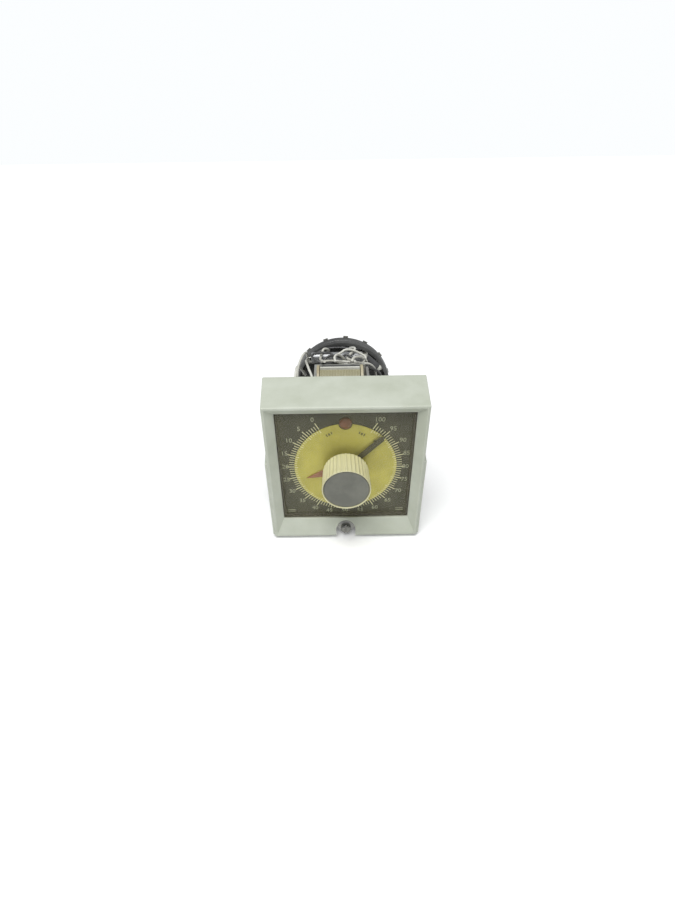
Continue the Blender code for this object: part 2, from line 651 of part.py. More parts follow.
def make_solenoid():
    """Coil on its bobbin and core, the steel frame and the hinged armature with its spring."""
    end, flange = COIL_HALF_LENGTH, 1.5
    tube_radius = CORE_RADIUS + GAP + 1.5
    inner = CORE_RADIUS + GAP
    bobbin = [(FLANGE_RADIUS, -end), (FLANGE_RADIUS, flange - end), (tube_radius, flange - end),
              (tube_radius, end - flange), (FLANGE_RADIUS, end - flange), (FLANGE_RADIUS, end),
              (inner, end), (inner, -end)]
    turned("coil_bobbin", bobbin[::-1], (COIL_X, COIL_Z), "nylon", 32, "X", COIL_Y)
    half = end - flange - GAP
    ring = [(COIL_RADIUS, -half), (COIL_RADIUS, half), (tube_radius + GAP, half), (tube_radius + GAP, -half)]
    turned("coil_winding", ring[::-1], (COIL_X, COIL_Z), "tape", 32, "X", COIL_Y)
    core = [(0.0, -end), (CORE_RADIUS, -end), (CORE_RADIUS, end + 0.6), (0.0, end + 0.6)]
    turned("coil_core", core[::-1], (COIL_X, COIL_Z), "bright", 20, "X", COIL_Y)
    left = COIL_X - end - GAP
    yoke = COIL_Y + FLANGE_RADIUS + 1.0
    foot = MOTOR_Y
    outline = [(left - STRIP_THICK, foot), (left + 9, foot), (left + 9, foot + STRIP_THICK),
               (left, foot + STRIP_THICK), (left, yoke), (ARMATURE_X - GAP, yoke),
               (ARMATURE_X - GAP, yoke + STRIP_THICK), (left - STRIP_THICK, yoke + STRIP_THICK)]
    flat("coil_frame", [outline], FRAME_HIGH_Z - FRAME_LOW_Z, (0, 0, (FRAME_LOW_Z + FRAME_HIGH_Z) / 2),
         (0, 0, 0), "zinc")
    arm_low, arm_high = FRAME_LOW_Z + 2, FRAME_HIGH_Z - 2
    front, back = ARMATURE_FRONT_Y - ARMATURE_HINGE_Y, STRIP_THICK / 2
    arm = [(0, front), (STRIP_THICK, front), (STRIP_THICK, back), (0, back)]
    flat("armature", [arm], arm_high - arm_low, (ARMATURE_X, ARMATURE_HINGE_Y, (arm_low + arm_high) / 2),
         (0, 0, 0), "bright")
    turns, coil_radius, facets = 5, 1.5, 8
    start, stop = left + GAP + 0.45, ARMATURE_X - GAP - 0.45
    spring_y, spring_z = ARMATURE_FRONT_Y + 1.8, FRAME_LOW_Z + 5
    helix = [(start + (stop - start) * n / (turns * facets),
              spring_y + coil_radius * math.cos(math.tau * n / facets),
              spring_z + coil_radius * math.sin(math.tau * n / facets)) for n in range(turns * facets + 1)]
    tube("armature_spring", helix, 0.35, "bright")


SWITCH = (20.0, 6.1, 10.0)   # long side, thickness, height


def make_switches():
    """Two snap switches: one over the trip cam, and one beside the armature."""
    long_side, thick, height = SWITCH
    top_y = GEAR_PLATE_Y - GAP - thick
    low = DIAL_Z + 12.4
    bevel(box("trip_switch", (-long_side / 2, top_y, low), (long_side / 2, top_y + thick, low + height),
              "black"), 0.4, 1)
    lever = [(0, -0.3), (long_side - 2, -0.3), (long_side - 2, 0.3), (0, 0.3)]
    flat("trip_lever", [lever], 2.4, (1 - long_side / 2, CAM_Y + CAM_THICK / 2, low - 1.5),
         facing(), "bright")
    side = ARMATURE_X + STRIP_THICK + 2.9
    foot = MOTOR_Y
    bevel(box("clutch_switch", (side, foot, FRAME_LOW_Z + 1.5),
              (side + thick, foot + long_side, FRAME_HIGH_Z - 0.5), "black"), 0.4, 1)
    strip = [(-0.3, 2 - long_side), (0.3, 2 - long_side), (0.3, 0), (-0.3, 0)]
    flat("clutch_lever", [strip], 4.0, (side - 1.2, foot + long_side - 1, (FRAME_LOW_Z + FRAME_HIGH_Z) / 2),
         (0, 0, 0), "bright")


# ---------------------------------------------------------------- plug and rear components
CAPACITOR_RADIUS = 3.4
CAPACITOR_SPAN = (-20.0, 13.0)


def capacitor_axis():
    """Depth and height of the capacitor's axis, behind the coil and above the shelf."""
    return REAR_PLATE_Y + 14.4, COIL_Z + 2.2


def shelf_height():
    """Height of the shelf under the capacitor, on a tongue of the rear plate."""
    return capacitor_axis()[1] - CAPACITOR_RADIUS - GAP


def polar(radius, clockwise):
    """A point about the plug's axis, the angle clockwise from straight up."""
    angle = math.radians(clockwise)
    return radius * math.sin(angle), PLUG_Z + radius * math.cos(angle)


def contact_angles():
    """Angles of the contact blades, clockwise from straight up."""
    return [CONTACT_MIDDLE + CONTACT_STEP * (n - CONTACTS // 2) for n in range(CONTACTS)]


def make_plug():
    """Round black plug: a cup open to the front with contact blades through its floor."""
    floor = PLUG_REAR_Y - PLUG_FLOOR
    inner = PLUG_RADIUS - PLUG_WALL
    back = PLUG_REAR_Y + BOSS_LENGTH
    profile = [(0.0, floor), (inner, floor), (inner, PLUG_FRONT_Y), (PLUG_RADIUS - 0.4, PLUG_FRONT_Y),
               (PLUG_RADIUS, PLUG_FRONT_Y + 0.4), (PLUG_RADIUS, PLUG_REAR_Y - 0.4),
               (PLUG_RADIUS - 0.4, PLUG_REAR_Y), (BOSS_RADIUS, PLUG_REAR_Y), (BOSS_RADIUS, back - 0.5),
               (BOSS_RADIUS - 0.5, back), (0.0, back)]
    plug = turned("plug_base", profile, (0, PLUG_Z), "black", 56)
    half_thick, half_width = CONTACT_THICK / 2 + GAP, CONTACT_WIDTH / 2 + GAP
    for number, clockwise in enumerate(contact_angles(), 1):
        slot = box(f"contact_slot_{number}", (-half_width, floor - 1, -half_thick),
                   (half_width, PLUG_REAR_Y + 1, half_thick))
        x, z = polar(CONTACT_RADIUS, clockwise)
        slot.location = (x * MM, slot.location.y, z * MM)
        slot.rotation_euler = (0, math.radians(clockwise), 0)
        boolean(plug, slot)
        make_contact(number, clockwise)


def make_contact(number, clockwise):
    """One contact: a solder tab inside the cup, bent outwards behind the plug's rim."""
    inside, outside = CONTACT_RADIUS - CONTACT_THICK / 2, CONTACT_RADIUS + CONTACT_THICK / 2
    tab = PLUG_FRONT_Y + 1.2
    bend = PLUG_REAR_Y + GAP
    outline = [(inside, tab), (outside, tab), (outside, bend), (CONTACT_REACH, bend),
               (CONTACT_REACH, bend + CONTACT_THICK), (inside, bend + CONTACT_THICK)]
    flat(f"contact_{number:02d}", [outline], CONTACT_WIDTH, (0, 0, PLUG_Z),
         (0, math.radians(clockwise - 90), 0), "bright")


def make_rear_components():
    """Two spacer posts, the capacitor and the sleeved resistor."""
    y_span = (REAR_PLATE_Y + PLATE_THICK + GAP, PLUG_REAR_Y - PLUG_FLOOR - GAP)
    for name, side in (("left", -1), ("right", 1)):
        cylinder(f"plug_post_{name}", POST_RADIUS, *y_span, (side * 19.0, PLUG_Z - 6), "bright", 24)
    y, z = capacitor_axis()
    left, right = CAPACITOR_SPAN
    radius = CAPACITOR_RADIUS
    can = [(0.0, left), (radius - 0.8, left), (radius, left + 0.8), (radius, right - 2.4),
           (radius - 0.5, right - 2.0), (radius, right - 1.6), (radius, right), (0.0, right)]
    turned("capacitor", can[::-1], (0, z), "can_grey", 32, "X", y)
    start, end = Vector((14.2, 92.6, 28.5)), Vector((25.0, 93.2, 18.5))
    along = end - start
    length = along.length
    body = [(0.0, 0.0), (1.9, 0.0), (2.6, 0.9), (2.6, length - 3.2), (2.1, length - 2.8), (2.1, length),
            (0.0, length)]
    resistor = turned("sleeved_resistor", body[::-1], (start.x, start.z), "black", 20, "X", start.y)
    resistor.rotation_euler = along.to_track_quat("Z", "Y").to_euler()


def make_latch():
    """The captive screw at the bottom of the bezel, its washer and the strap that holds it."""
    strap_y = BAR_BACK_Y + GAP
    strap_thick = 1.2
    washer_y = strap_y - GAP - 0.8
    turned("locking_washer", [(WASHER_RADIUS, washer_y), (WASHER_RADIUS, washer_y + 0.8),
                              (SHAFT_RADIUS + RUN, washer_y + 0.8), (SHAFT_RADIUS + RUN, washer_y)],
           (0, SCREW_Z), "bright", 32)
    head_y = washer_y - GAP - 2.7
    end = FRONT_PLATE_Y + PLATE_THICK + 12
    radius = SCREW_HEAD_RADIUS
    profile = [(0.0, head_y), (radius - 0.5, head_y), (radius, head_y + 0.5), (radius, washer_y - GAP),
               (SHAFT_RADIUS, washer_y - GAP), (SHAFT_RADIUS, end - 1), (SHAFT_RADIUS - 0.7, end), (0.0, end)]
    screw = turned("locking_screw", profile, (0, SCREW_Z), "bright", 28)
    boolean(screw, box("screw_slot", (-0.45, head_y - 1, SCREW_Z - 4), (0.45, head_y + 1.0, SCREW_Z + 4)))
    hang = SCREW_Z + 3.2
    behind = FRONT_PLATE_Y - GAP
    outline = [(strap_y, SCREW_Z - 1.8), (strap_y + strap_thick, SCREW_Z - 1.8),
               (strap_y + strap_thick, hang), (behind, hang), (behind, hang + 8),
               (behind - strap_thick, hang + 8),
               (behind - strap_thick, hang + strap_thick), (strap_y, hang + strap_thick)]
    strap = flat("latch_strap", [outline], 14.0, (0, 0, 0), (math.pi / 2, 0, math.pi / 2), "zinc")
    boolean(strap, cylinder("strap_hole", SHAFT_RADIUS + RUN, strap_y - 1, strap_y + strap_thick + 1,
                            (0, SCREW_Z), segments=24))


def tab_run(number):
    """Where a wire ends beside a contact's solder tab, and where it leaves the plug's cup."""
    x, z = polar(CONTACT_RADIUS - CONTACT_THICK / 2 - GAP - WIRE_RADIUS, contact_angles()[number - 1])
    return (x, PLUG_FRONT_Y + 2.4, z), (x, PLUG_FRONT_Y - 1.0, z)


def make_wires():
    """Wires from the plug's contacts forward to the coil, the switches and the motor."""
    coil_top = (COIL_Y + 5, COIL_Z + COIL_RADIUS + 1.3)
    ahead, under = COIL_Y - FLANGE_RADIUS, COIL_Z - FLANGE_RADIUS
    routes = {
        "wire_coil_a": [*tab_run(5), (-9, 91.5, 33.4), (-12, 86, 36.2), (-14, 78, 33.5), (-12.5, 70, 35.6),
                        (-11, *coil_top)],
        "wire_coil_b": [*tab_run(6), (5.5, 92, 34.4), (8, 86, 36.2), (3, 78, 34), (5.5, 70, 35.8),
                        (7, *coil_top)],
        "wire_motor": [*tab_run(3), (-25.5, 89, 18.5), (-27.5, 81, 26), (-29, 72.5, 29.4), (-29.8, 64, 20),
                       (-26, 56, -2), (-20.5, 51.4, -12)],
        "wire_switch": [*tab_run(4), (-22, 91, 25.5), (-23.5, 85, 29), (-21.5, 74, 29), (-19, 66, 25.5),
                        (-18.8, ahead + 6, under + 3), (-8, ahead - 2, under - 2.5),
                        (6, ahead - 10, under - 3.5), (15, 31.5, 17)],
    }
    for name, points in routes.items():
        tube(name, smooth_path(points, 4), WIRE_RADIUS, "insulation")


def main():
    """Build every piece, from the front of the module to its plug."""
    make_bezel()
    make_window()
    make_knob()
    make_setting()
    make_progress()
    make_train()
    make_chassis()
    make_lamp()
    make_motor()
    make_solenoid()
    make_switches()
    make_plug()
    make_rear_components()
    make_latch()
    make_wires()


main()
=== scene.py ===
"""Looks of a plug-in panel timer: dial, knob, clockwork chassis and round plug.

Sizes are in millimetres in the panel frame: X to the right, Y into the panel and Z up,
with the origin at the centre of the bezel's front plane.
"""
import logging
import math
from dataclasses import dataclass, field
from enum import Enum

import bmesh
import bpy
import numpy as np
from mathutils import Matrix, Vector


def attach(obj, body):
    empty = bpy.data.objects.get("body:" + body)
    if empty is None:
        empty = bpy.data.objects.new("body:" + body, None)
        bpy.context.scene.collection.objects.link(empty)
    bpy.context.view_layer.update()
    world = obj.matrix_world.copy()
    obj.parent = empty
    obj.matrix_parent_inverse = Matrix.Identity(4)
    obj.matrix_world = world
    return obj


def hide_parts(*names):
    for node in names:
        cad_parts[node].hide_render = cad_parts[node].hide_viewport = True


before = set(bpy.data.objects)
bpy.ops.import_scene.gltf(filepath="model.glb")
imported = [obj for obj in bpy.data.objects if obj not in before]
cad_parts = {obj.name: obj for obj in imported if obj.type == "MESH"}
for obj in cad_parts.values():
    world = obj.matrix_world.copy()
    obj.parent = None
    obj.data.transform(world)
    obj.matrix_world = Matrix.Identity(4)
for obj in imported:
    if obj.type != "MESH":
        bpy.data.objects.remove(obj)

Triple = tuple[float, float, float]
Shape = tuple[np.ndarray, np.ndarray]          # points and faces
Socket = bpy.types.NodeSocket
Piece = bpy.types.Object

log = logging.getLogger("panel_timer")

MM = 0.001
PANEL_ORIGIN = np.array((0.0, -47.8, 45.65))   # of the panel frame, in the world, mm
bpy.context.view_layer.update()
DIAL_Z = 2.6                                   # height of the dial's axis
SECTION_REFERENCE = (0.83, 0.21, 0.52)         # a direction that no wire runs along


# ---------------------------------------------------------------- shapes
class Axis(Enum):
    """Direction in which a turned piece's axis runs."""

    DEPTH = "Y"
    SIDE = "X"


def to_world(points: np.ndarray) -> np.ndarray:
    """Panel millimetres to world metres."""
    return (points + PANEL_ORIGIN) * MM


def linked(name: str, data: bpy.types.ID) -> Piece:
    """A new object in the scene that shows a mesh, curve, lamp or camera."""
    item = bpy.data.objects.new(name, data)
    bpy.context.scene.collection.objects.link(item)
    return item


def mesh_piece(name: str, points: np.ndarray, faces: np.ndarray, merge: bool = True,
               sharp: float = 40.0) -> Piece:
    """Make a piece whose place is in its mesh.

    Args:
        name: name of the piece.
        points: corner places in panel millimetres, one row each.
        faces: corner numbers, one row for each face.
        merge: whether doubled corners are merged and the faces turned outwards.
        sharp: angle in degrees from which an edge stays sharp.

    Returns:
        The linked object.
    """
    mesh = bpy.data.meshes.new(name)
    mesh.from_pydata(to_world(points).tolist(), [], faces.tolist())
    if merge:
        work = bmesh.new()
        work.from_mesh(mesh)
        bmesh.ops.remove_doubles(work, verts=work.verts, dist=2e-6)
        bmesh.ops.dissolve_degenerate(work, dist=1e-7, edges=work.edges)
        bmesh.ops.recalc_face_normals(work, faces=work.faces)
        work.to_mesh(mesh)
        work.free()
    mesh.shade_smooth()
    mesh.set_sharp_from_angle(angle=math.radians(sharp))
    return linked(name, mesh)


def grid_faces(rows: int, columns: int, closed_rows: bool, closed_columns: bool) -> np.ndarray:
    """Four-cornered faces of a grid of points, joined round in either direction if closed."""
    row, column = np.meshgrid(np.arange(rows - (not closed_rows)),
                              np.arange(columns - (not closed_columns)), indexing="ij")
    below, beside = (row + 1) % rows, (column + 1) % columns
    corners = (row * columns + column, below * columns + column,
               below * columns + beside, row * columns + beside)
    return np.stack([corner.ravel() for corner in corners], axis=1)


def joined(parts: list[Shape]) -> Shape:
    """Several (points, faces) shapes as one."""
    starts = np.cumsum([0] + [len(points) for points, _ in parts[:-1]])
    return (np.concatenate([points for points, _ in parts]),
            np.concatenate([faces + start for (_, faces), start in zip(parts, starts)]))


def turned_shape(profile: np.ndarray, centre: Triple, axis: Axis = Axis.DEPTH,
                 segments: int = 96, flutes: int = 0,
                 flute_depth: np.ndarray | float = 0.0) -> Shape:
    """A profile carried once round an axis.

    At angle a the radius is r - d (0.5 - 0.5 cos(n a)) ** 0.7 for n flutes of depth d.

    Args:
        profile: rows of (radius, place along the axis).
        centre: point on the axis from which the places are counted.
        axis: direction of the axis.
        segments: number of steps round.
        flutes: number of flutes round.
        flute_depth: depth of the flutes, one for each profile row or one for all.

    Returns:
        Points and faces.
    """
    profile = np.asarray(profile, float)
    angle = np.arange(segments) * math.tau / segments
    dip = (0.5 - 0.5 * np.cos(flutes * angle)) ** 0.7 if flutes else np.zeros(segments)
    depth = np.broadcast_to(flute_depth, len(profile))
    radius = profile[:, :1] - depth[:, None] * dip[None, :]
    along = np.broadcast_to(profile[:, 1:], radius.shape)
    across, up = radius * np.sin(angle), radius * np.cos(angle)
    order = (across, along, up) if axis is Axis.DEPTH else (along, across, up)
    points = np.stack(order, axis=-1).reshape(-1, 3) + np.asarray(centre)
    closed = profile[0, 0] > 1e-6
    return points, grid_faces(len(profile), segments, closed, True)


def smooth_curve(points: list[Triple], per_span: int = 14) -> np.ndarray:
    """Points on the Catmull-Rom curve: the cubic through each pair whose slopes are half the
    difference of the neighbours."""
    given = np.asarray(points, float)
    ends = np.vstack((2 * given[0] - given[1], given, 2 * given[-1] - given[-2]))
    t = (np.arange(per_span) / per_span)[None, :, None]
    p0, p1, p2, p3 = (ends[n:len(ends) - 3 + n, None, :] for n in range(4))
    curve = 0.5 * (2 * p1 + (p2 - p0) * t + (2 * p0 - 5 * p1 + 4 * p2 - p3) * t ** 2
                   + (3 * p1 - p0 - 3 * p2 + p3) * t ** 3)
    return np.vstack((curve.reshape(-1, 3), given[-1]))


def swept_shape(path: np.ndarray, radius: np.ndarray | float, sides: int = 16) -> Shape:
    """A round section carried along a path, closed at both ends.

    The section's two axes are the cross products of the path's direction with a fixed
    reference, and the radius may change along the path.

    Args:
        path: rows of points.
        radius: one radius, or one for each point.
        sides: number of steps round the section.

    Returns:
        Points and faces.
    """
    tangent = np.gradient(path, axis=0)
    tangent /= np.linalg.norm(tangent, axis=1, keepdims=True)
    first = np.cross(tangent, SECTION_REFERENCE)
    first /= np.linalg.norm(first, axis=1, keepdims=True)
    second = np.cross(tangent, first)
    sizes = np.broadcast_to(radius, len(path)).astype(float)
    sizes = np.concatenate(([0.0], sizes, [0.0]))
    path, first, second = (np.concatenate((a[:1], a, a[-1:])) for a in (path, first, second))
    angle = np.arange(sides) * math.tau / sides
    ring = (first[:, None, :] * np.cos(angle)[None, :, None]
            + second[:, None, :] * np.sin(angle)[None, :, None])
    points = path[:, None, :] + ring * sizes[:, None, None]
    return points.reshape(-1, 3), grid_faces(len(path), sides, False, True)


def blob_shape(centre: Triple, radii: Triple,
               lumps: float = 0.12, phase: float = 0.0, steps: int = 20) -> Shape:
    """A solder blob: an ellipsoid whose radius swells by lumps sin(2u + phase) cos(3v)."""
    u, v = np.meshgrid(np.linspace(0.0, math.pi, steps), np.arange(2 * steps) * math.pi / steps,
                       indexing="ij")
    swell = 1.0 + lumps * np.sin(2 * u + phase) * np.cos(3 * v + phase) * np.sin(u)
    ball = np.stack((np.sin(u) * np.cos(v), np.sin(u) * np.sin(v), np.cos(u)), axis=-1)
    points = ball * swell[..., None] * np.asarray(radii) + np.asarray(centre)
    return points.reshape(-1, 3), grid_faces(steps, 2 * steps, False, True)


def slotted_head_shape(centre: Triple, radius: float, height: float,
                       back: bool = False, turn: float = 0.3) -> Shape:
    """A pan screw head standing on a face, towards the front, or towards the back.

    Height above the face at (r, a) is h sqrt(1 - 0.75 (r/R) ** 2), less half of h where the
    point lies within about a seventh of R of the slot's line.

    Args:
        centre: middle of the head on the face it stands on.
        radius: outer radius R.
        height: height h at the middle.
        back: whether the head stands towards the back.
        turn: angle of the slot, in radians.

    Returns:
        Points and faces.
    """
    segments, slot_half, slot_slope, sunk = 72, 0.17, 0.05, 0.02
    share = np.concatenate((np.linspace(0.0, 0.94, 22), [1.0, 1.0]))
    angle = np.arange(segments) * math.tau / segments
    r, a = np.meshgrid(share, angle, indexing="ij")
    rise = height * np.sqrt(1.0 - 0.75 * r ** 2)
    off_slot = np.abs(r * np.sin(a - turn))
    rise -= 0.5 * height * np.clip((slot_half - off_slot) / slot_slope, 0.0, 1.0)
    rise[-1] = -sunk
    depth = rise if back else -rise
    points = np.stack((r * radius * np.cos(a), depth, r * radius * np.sin(a)), axis=-1)
    return points.reshape(-1, 3) + np.asarray(centre), grid_faces(len(share), segments, False, True)


def slab_shape(outline: np.ndarray, y_front: float, thick: float, round_by: float = 0.15) -> Shape:
    """A flat piece facing the front whose outline shrinks towards its middle at both faces.

    Args:
        outline: rows of (x, z), running round a shape that is seen whole from its middle.
        y_front: depth of its front face.
        thick: its thickness.
        round_by: size of the rounded edge.

    Returns:
        Points and faces.
    """
    middle = outline.mean(axis=0)
    reach = np.linalg.norm(outline - middle, axis=1, keepdims=True)
    # distance inwards in round_by, and share of the thickness; the first and last rows close the faces
    steps = ((np.inf, 0.0), (1.0, 0.0), (0.3, 0.0), (0.0, 0.3),
             (0.0, 0.7), (0.3, 1.0), (1.0, 1.0), (np.inf, 1.0))
    rows = []
    for inward, share in steps:
        left = np.maximum(1.0 - inward * round_by / reach, 0.0)
        at = middle + (outline - middle) * left
        rows.append(np.column_stack((at[:, 0], np.full(len(at), y_front + share * thick), at[:, 1])))
    return np.concatenate(rows), grid_faces(len(rows), len(outline), False, True)


def rounded_outline(left: float, right: float, low: float, high: float, radius: float,
                    steps: int = 6) -> np.ndarray:
    """Outline of a rectangle with round corners, as rows of (x, z)."""
    turn = np.linspace(0.0, math.pi / 2, steps)
    corners = ((right - radius, high - radius, 0), (left + radius, high - radius, 1),
               (left + radius, low + radius, 2), (right - radius, low + radius, 3))
    arcs = [np.column_stack((x + radius * np.cos(turn + quarter * math.pi / 2),
                             z + radius * np.sin(turn + quarter * math.pi / 2)))
            for x, z, quarter in corners]
    return np.concatenate(arcs)


# ---------------------------------------------------------------- finishes
class Recipe:
    """Builds one Principled material whose patterns lie on Object coordinates."""

    def __init__(self, name: str) -> None:
        """Start an empty recipe with its shader and coordinates."""
        self.material = bpy.data.materials.new(name)
        self.material.use_nodes = True
        self.nodes = self.material.node_tree.nodes
        self.links = self.material.node_tree.links
        self.shader = self.nodes["Principled BSDF"]
        self.place = self.nodes.new("ShaderNodeTexCoord").outputs["Object"]

    def mapped(self, scale: Triple, offset: Triple = (0, 0, 0), turn: Triple = (0, 0, 0)) -> Socket:
        """Coordinates moved by an offset in metres, turned, then scaled on each axis."""
        node = self.nodes.new("ShaderNodeMapping")
        node.inputs["Location"].default_value = offset
        node.inputs["Rotation"].default_value = turn
        node.inputs["Scale"].default_value = scale
        self.links.new(self.place, node.inputs["Vector"])
        return node.outputs["Vector"]

    def noise(self, scale: float, detail: float = 3.0, roughness: float = 0.55,
              vector: Socket | None = None) -> Socket:
        """Fractal noise, with its scale in cells a metre."""
        node = self.nodes.new("ShaderNodeTexNoise")
        node.inputs["Scale"].default_value = scale
        node.inputs["Detail"].default_value = detail
        node.inputs["Roughness"].default_value = roughness
        self.links.new(vector or self.place, node.inputs["Vector"])
        return node.outputs["Fac"]

    def ramp(self, source: Socket, low: float, high: float,
             from_low: float = 0.35, from_high: float = 0.65) -> Socket:
        """A number spread linearly between two values."""
        node = self.nodes.new("ShaderNodeMapRange")
        limits = {"From Min": from_low, "From Max": from_high, "To Min": low, "To Max": high}
        for name, value in limits.items():
            node.inputs[name].default_value = value
        self.links.new(source, node.inputs["Value"])
        return node.outputs["Result"]

    def mix(self, share: Socket, first: object, second: object) -> Socket:
        """Two colours, or colour sockets, mixed by a share."""
        node = self.nodes.new("ShaderNodeMix")
        node.data_type = "RGBA"
        self.links.new(share, node.inputs["Factor"])
        for socket, value in ((node.inputs[6], first), (node.inputs[7], second)):
            if isinstance(value, Socket):
                self.links.new(value, socket)
            else:
                socket.default_value = (*value, 1.0)
        return node.outputs[2]

    def bump(self, height: Socket, distance: float, strength: float = 1.0,
             onto: Socket | None = None) -> Socket:
        """Surface relief of a given depth in metres, over an earlier relief if there is one."""
        node = self.nodes.new("ShaderNodeBump")
        node.inputs["Distance"].default_value = distance
        node.inputs["Strength"].default_value = strength
        self.links.new(height, node.inputs["Height"])
        if onto:
            self.links.new(onto, node.inputs["Normal"])
        return node.outputs["Normal"]

    def set(self, **values: object) -> "Recipe":
        """Set or link sockets of the shader, named in lower case with underscores."""
        for name, value in values.items():
            socket = self.shader.inputs[name.replace("_", " ").title().replace("Ior", "IOR")]
            if isinstance(value, Socket):
                self.links.new(value, socket)
            else:
                socket.default_value = (*value, 1.0) if isinstance(value, tuple) else value
        return self

    def edge_wear(self, radius: float, sharpness: float = 6.0) -> Socket:
        """One along outer edges and nought elsewhere, from how a bevel would turn the surface."""
        bevel = self.nodes.new("ShaderNodeBevel")
        bevel.samples = 4
        bevel.inputs["Radius"].default_value = radius
        geometry = self.nodes.new("ShaderNodeNewGeometry")
        dot = self.nodes.new("ShaderNodeVectorMath")
        dot.operation = "DOT_PRODUCT"
        self.links.new(bevel.outputs["Normal"], dot.inputs[0])
        self.links.new(geometry.outputs["Normal"], dot.inputs[1])
        return self.ramp(dot.outputs["Value"], 1.0, 0.0, 1.0 - 1.0 / sharpness, 0.995)


@dataclass(frozen=True)
class Moulded:
    """Moulded plastic: slow colour drift, dirt in patches, fine texture, and outer edges lightened as a
    painted edge highlight, partly rubbed wear.
    """

    name: str
    colour: Triple
    drift: Triple
    roughness: float = 0.5
    grain: float = 1500.0
    grain_depth: float = 0.00003
    worn: Triple | None = None

    def make(self) -> bpy.types.Material:
        """The material."""
        recipe = Recipe(self.name)
        cloud = recipe.ramp(recipe.noise(55.0, 4.0), 0.0, 1.0)
        colour = recipe.mix(cloud, self.colour, self.drift)
        speck = recipe.ramp(recipe.noise(900.0, 5.0, 0.7), 0.0, 0.35, 0.6, 0.78)
        colour = recipe.mix(speck, colour, tuple(0.55 * part for part in self.drift))
        if self.worn:
            # painted edge highlight, partly rubbed wear: outer edges are mixed towards a lighter colour
            colour = recipe.mix(recipe.edge_wear(0.0006), colour, self.worn)
        fine = recipe.bump(recipe.noise(self.grain, 2.0), self.grain_depth)
        relief = recipe.bump(recipe.noise(120.0, 2.0), 0.00008, 0.6, fine)
        gloss = recipe.ramp(recipe.noise(200.0, 3.0), self.roughness - 0.07, self.roughness + 0.08)
        return recipe.set(base_color=colour, roughness=gloss, normal=relief).material


@dataclass(frozen=True)
class Sheet:
    """Plated or bare sheet metal: brushed along one axis, with stains and handling marks."""

    name: str
    colour: Triple
    stain: Triple
    roughness: float = 0.35
    brushed: Triple = (1.0, 14.0, 14.0)
    metallic: float = 1.0

    def make(self) -> bpy.types.Material:
        """The material."""
        recipe = Recipe(self.name)
        lines = recipe.noise(180.0, 4.0, 0.6, recipe.mapped(self.brushed))
        stains = recipe.ramp(recipe.noise(90.0, 4.0, 0.6), 0.0, 1.0, 0.4, 0.75)
        colour = recipe.mix(stains, self.colour, self.stain)
        colour = recipe.mix(recipe.ramp(lines, 0.0, 0.2), colour, tuple(0.7 * part for part in self.colour))
        gloss = recipe.ramp(recipe.noise(260.0, 4.0), self.roughness - 0.06, self.roughness + 0.1)
        relief = recipe.bump(lines, 0.00002, 0.7)
        return recipe.set(base_color=colour, roughness=gloss, metallic=self.metallic, normal=relief).material


@dataclass(frozen=True)
class Board:
    """Matt white board that looks the brighter the further it is, so that it fades into the pale sky."""

    name: str
    colour: Triple
    fade: tuple[float, float] = (0.0, 0.9)

    def make(self) -> bpy.types.Material:
        """The material, whose glow lights nothing else."""
        recipe = Recipe(self.name)
        colour = recipe.mix(recipe.noise(3.0, 2.0), self.colour, tuple(0.985 * part for part in self.colour))
        distance = recipe.nodes.new("ShaderNodeVectorMath")
        distance.operation = "LENGTH"
        recipe.links.new(recipe.place, distance.inputs[0])
        seen = recipe.nodes.new("ShaderNodeMath")
        seen.operation = "MULTIPLY"
        recipe.links.new(recipe.ramp(distance.outputs["Value"], 0.12, 1.0, *self.fade), seen.inputs[0])
        recipe.links.new(recipe.nodes.new("ShaderNodeLightPath").outputs["Is Camera Ray"], seen.inputs[1])
        return recipe.set(base_color=colour, roughness=0.6, emission_color=(1.0, 1.0, 1.0),
                          emission_strength=seen.outputs["Value"]).material


@dataclass(frozen=True)
class Painted:
    """A thin coat of paint or lacquer on metal, with dust and fine scratches."""

    name: str
    colour: Triple
    dust: Triple
    roughness: float = 0.45

    def make(self) -> bpy.types.Material:
        """The material."""
        recipe = Recipe(self.name)
        dust = recipe.ramp(recipe.noise(70.0, 5.0, 0.65), 0.0, 0.35, 0.38, 0.72)
        colour = recipe.mix(dust, self.colour, self.dust)
        scratch = recipe.noise(300.0, 3.0, 0.6, recipe.mapped((1.0, 1.0, 9.0), turn=(0.0, 0.5, 0.0)))
        colour = recipe.mix(recipe.ramp(scratch, 0.0, 0.3, 0.6, 0.7), colour, self.dust)
        gloss = recipe.ramp(recipe.noise(300.0, 3.0), self.roughness - 0.06, self.roughness + 0.1)
        relief = recipe.bump(recipe.noise(1400.0, 2.0), 0.00001, 0.6)
        return recipe.set(base_color=colour, roughness=gloss, normal=relief).material


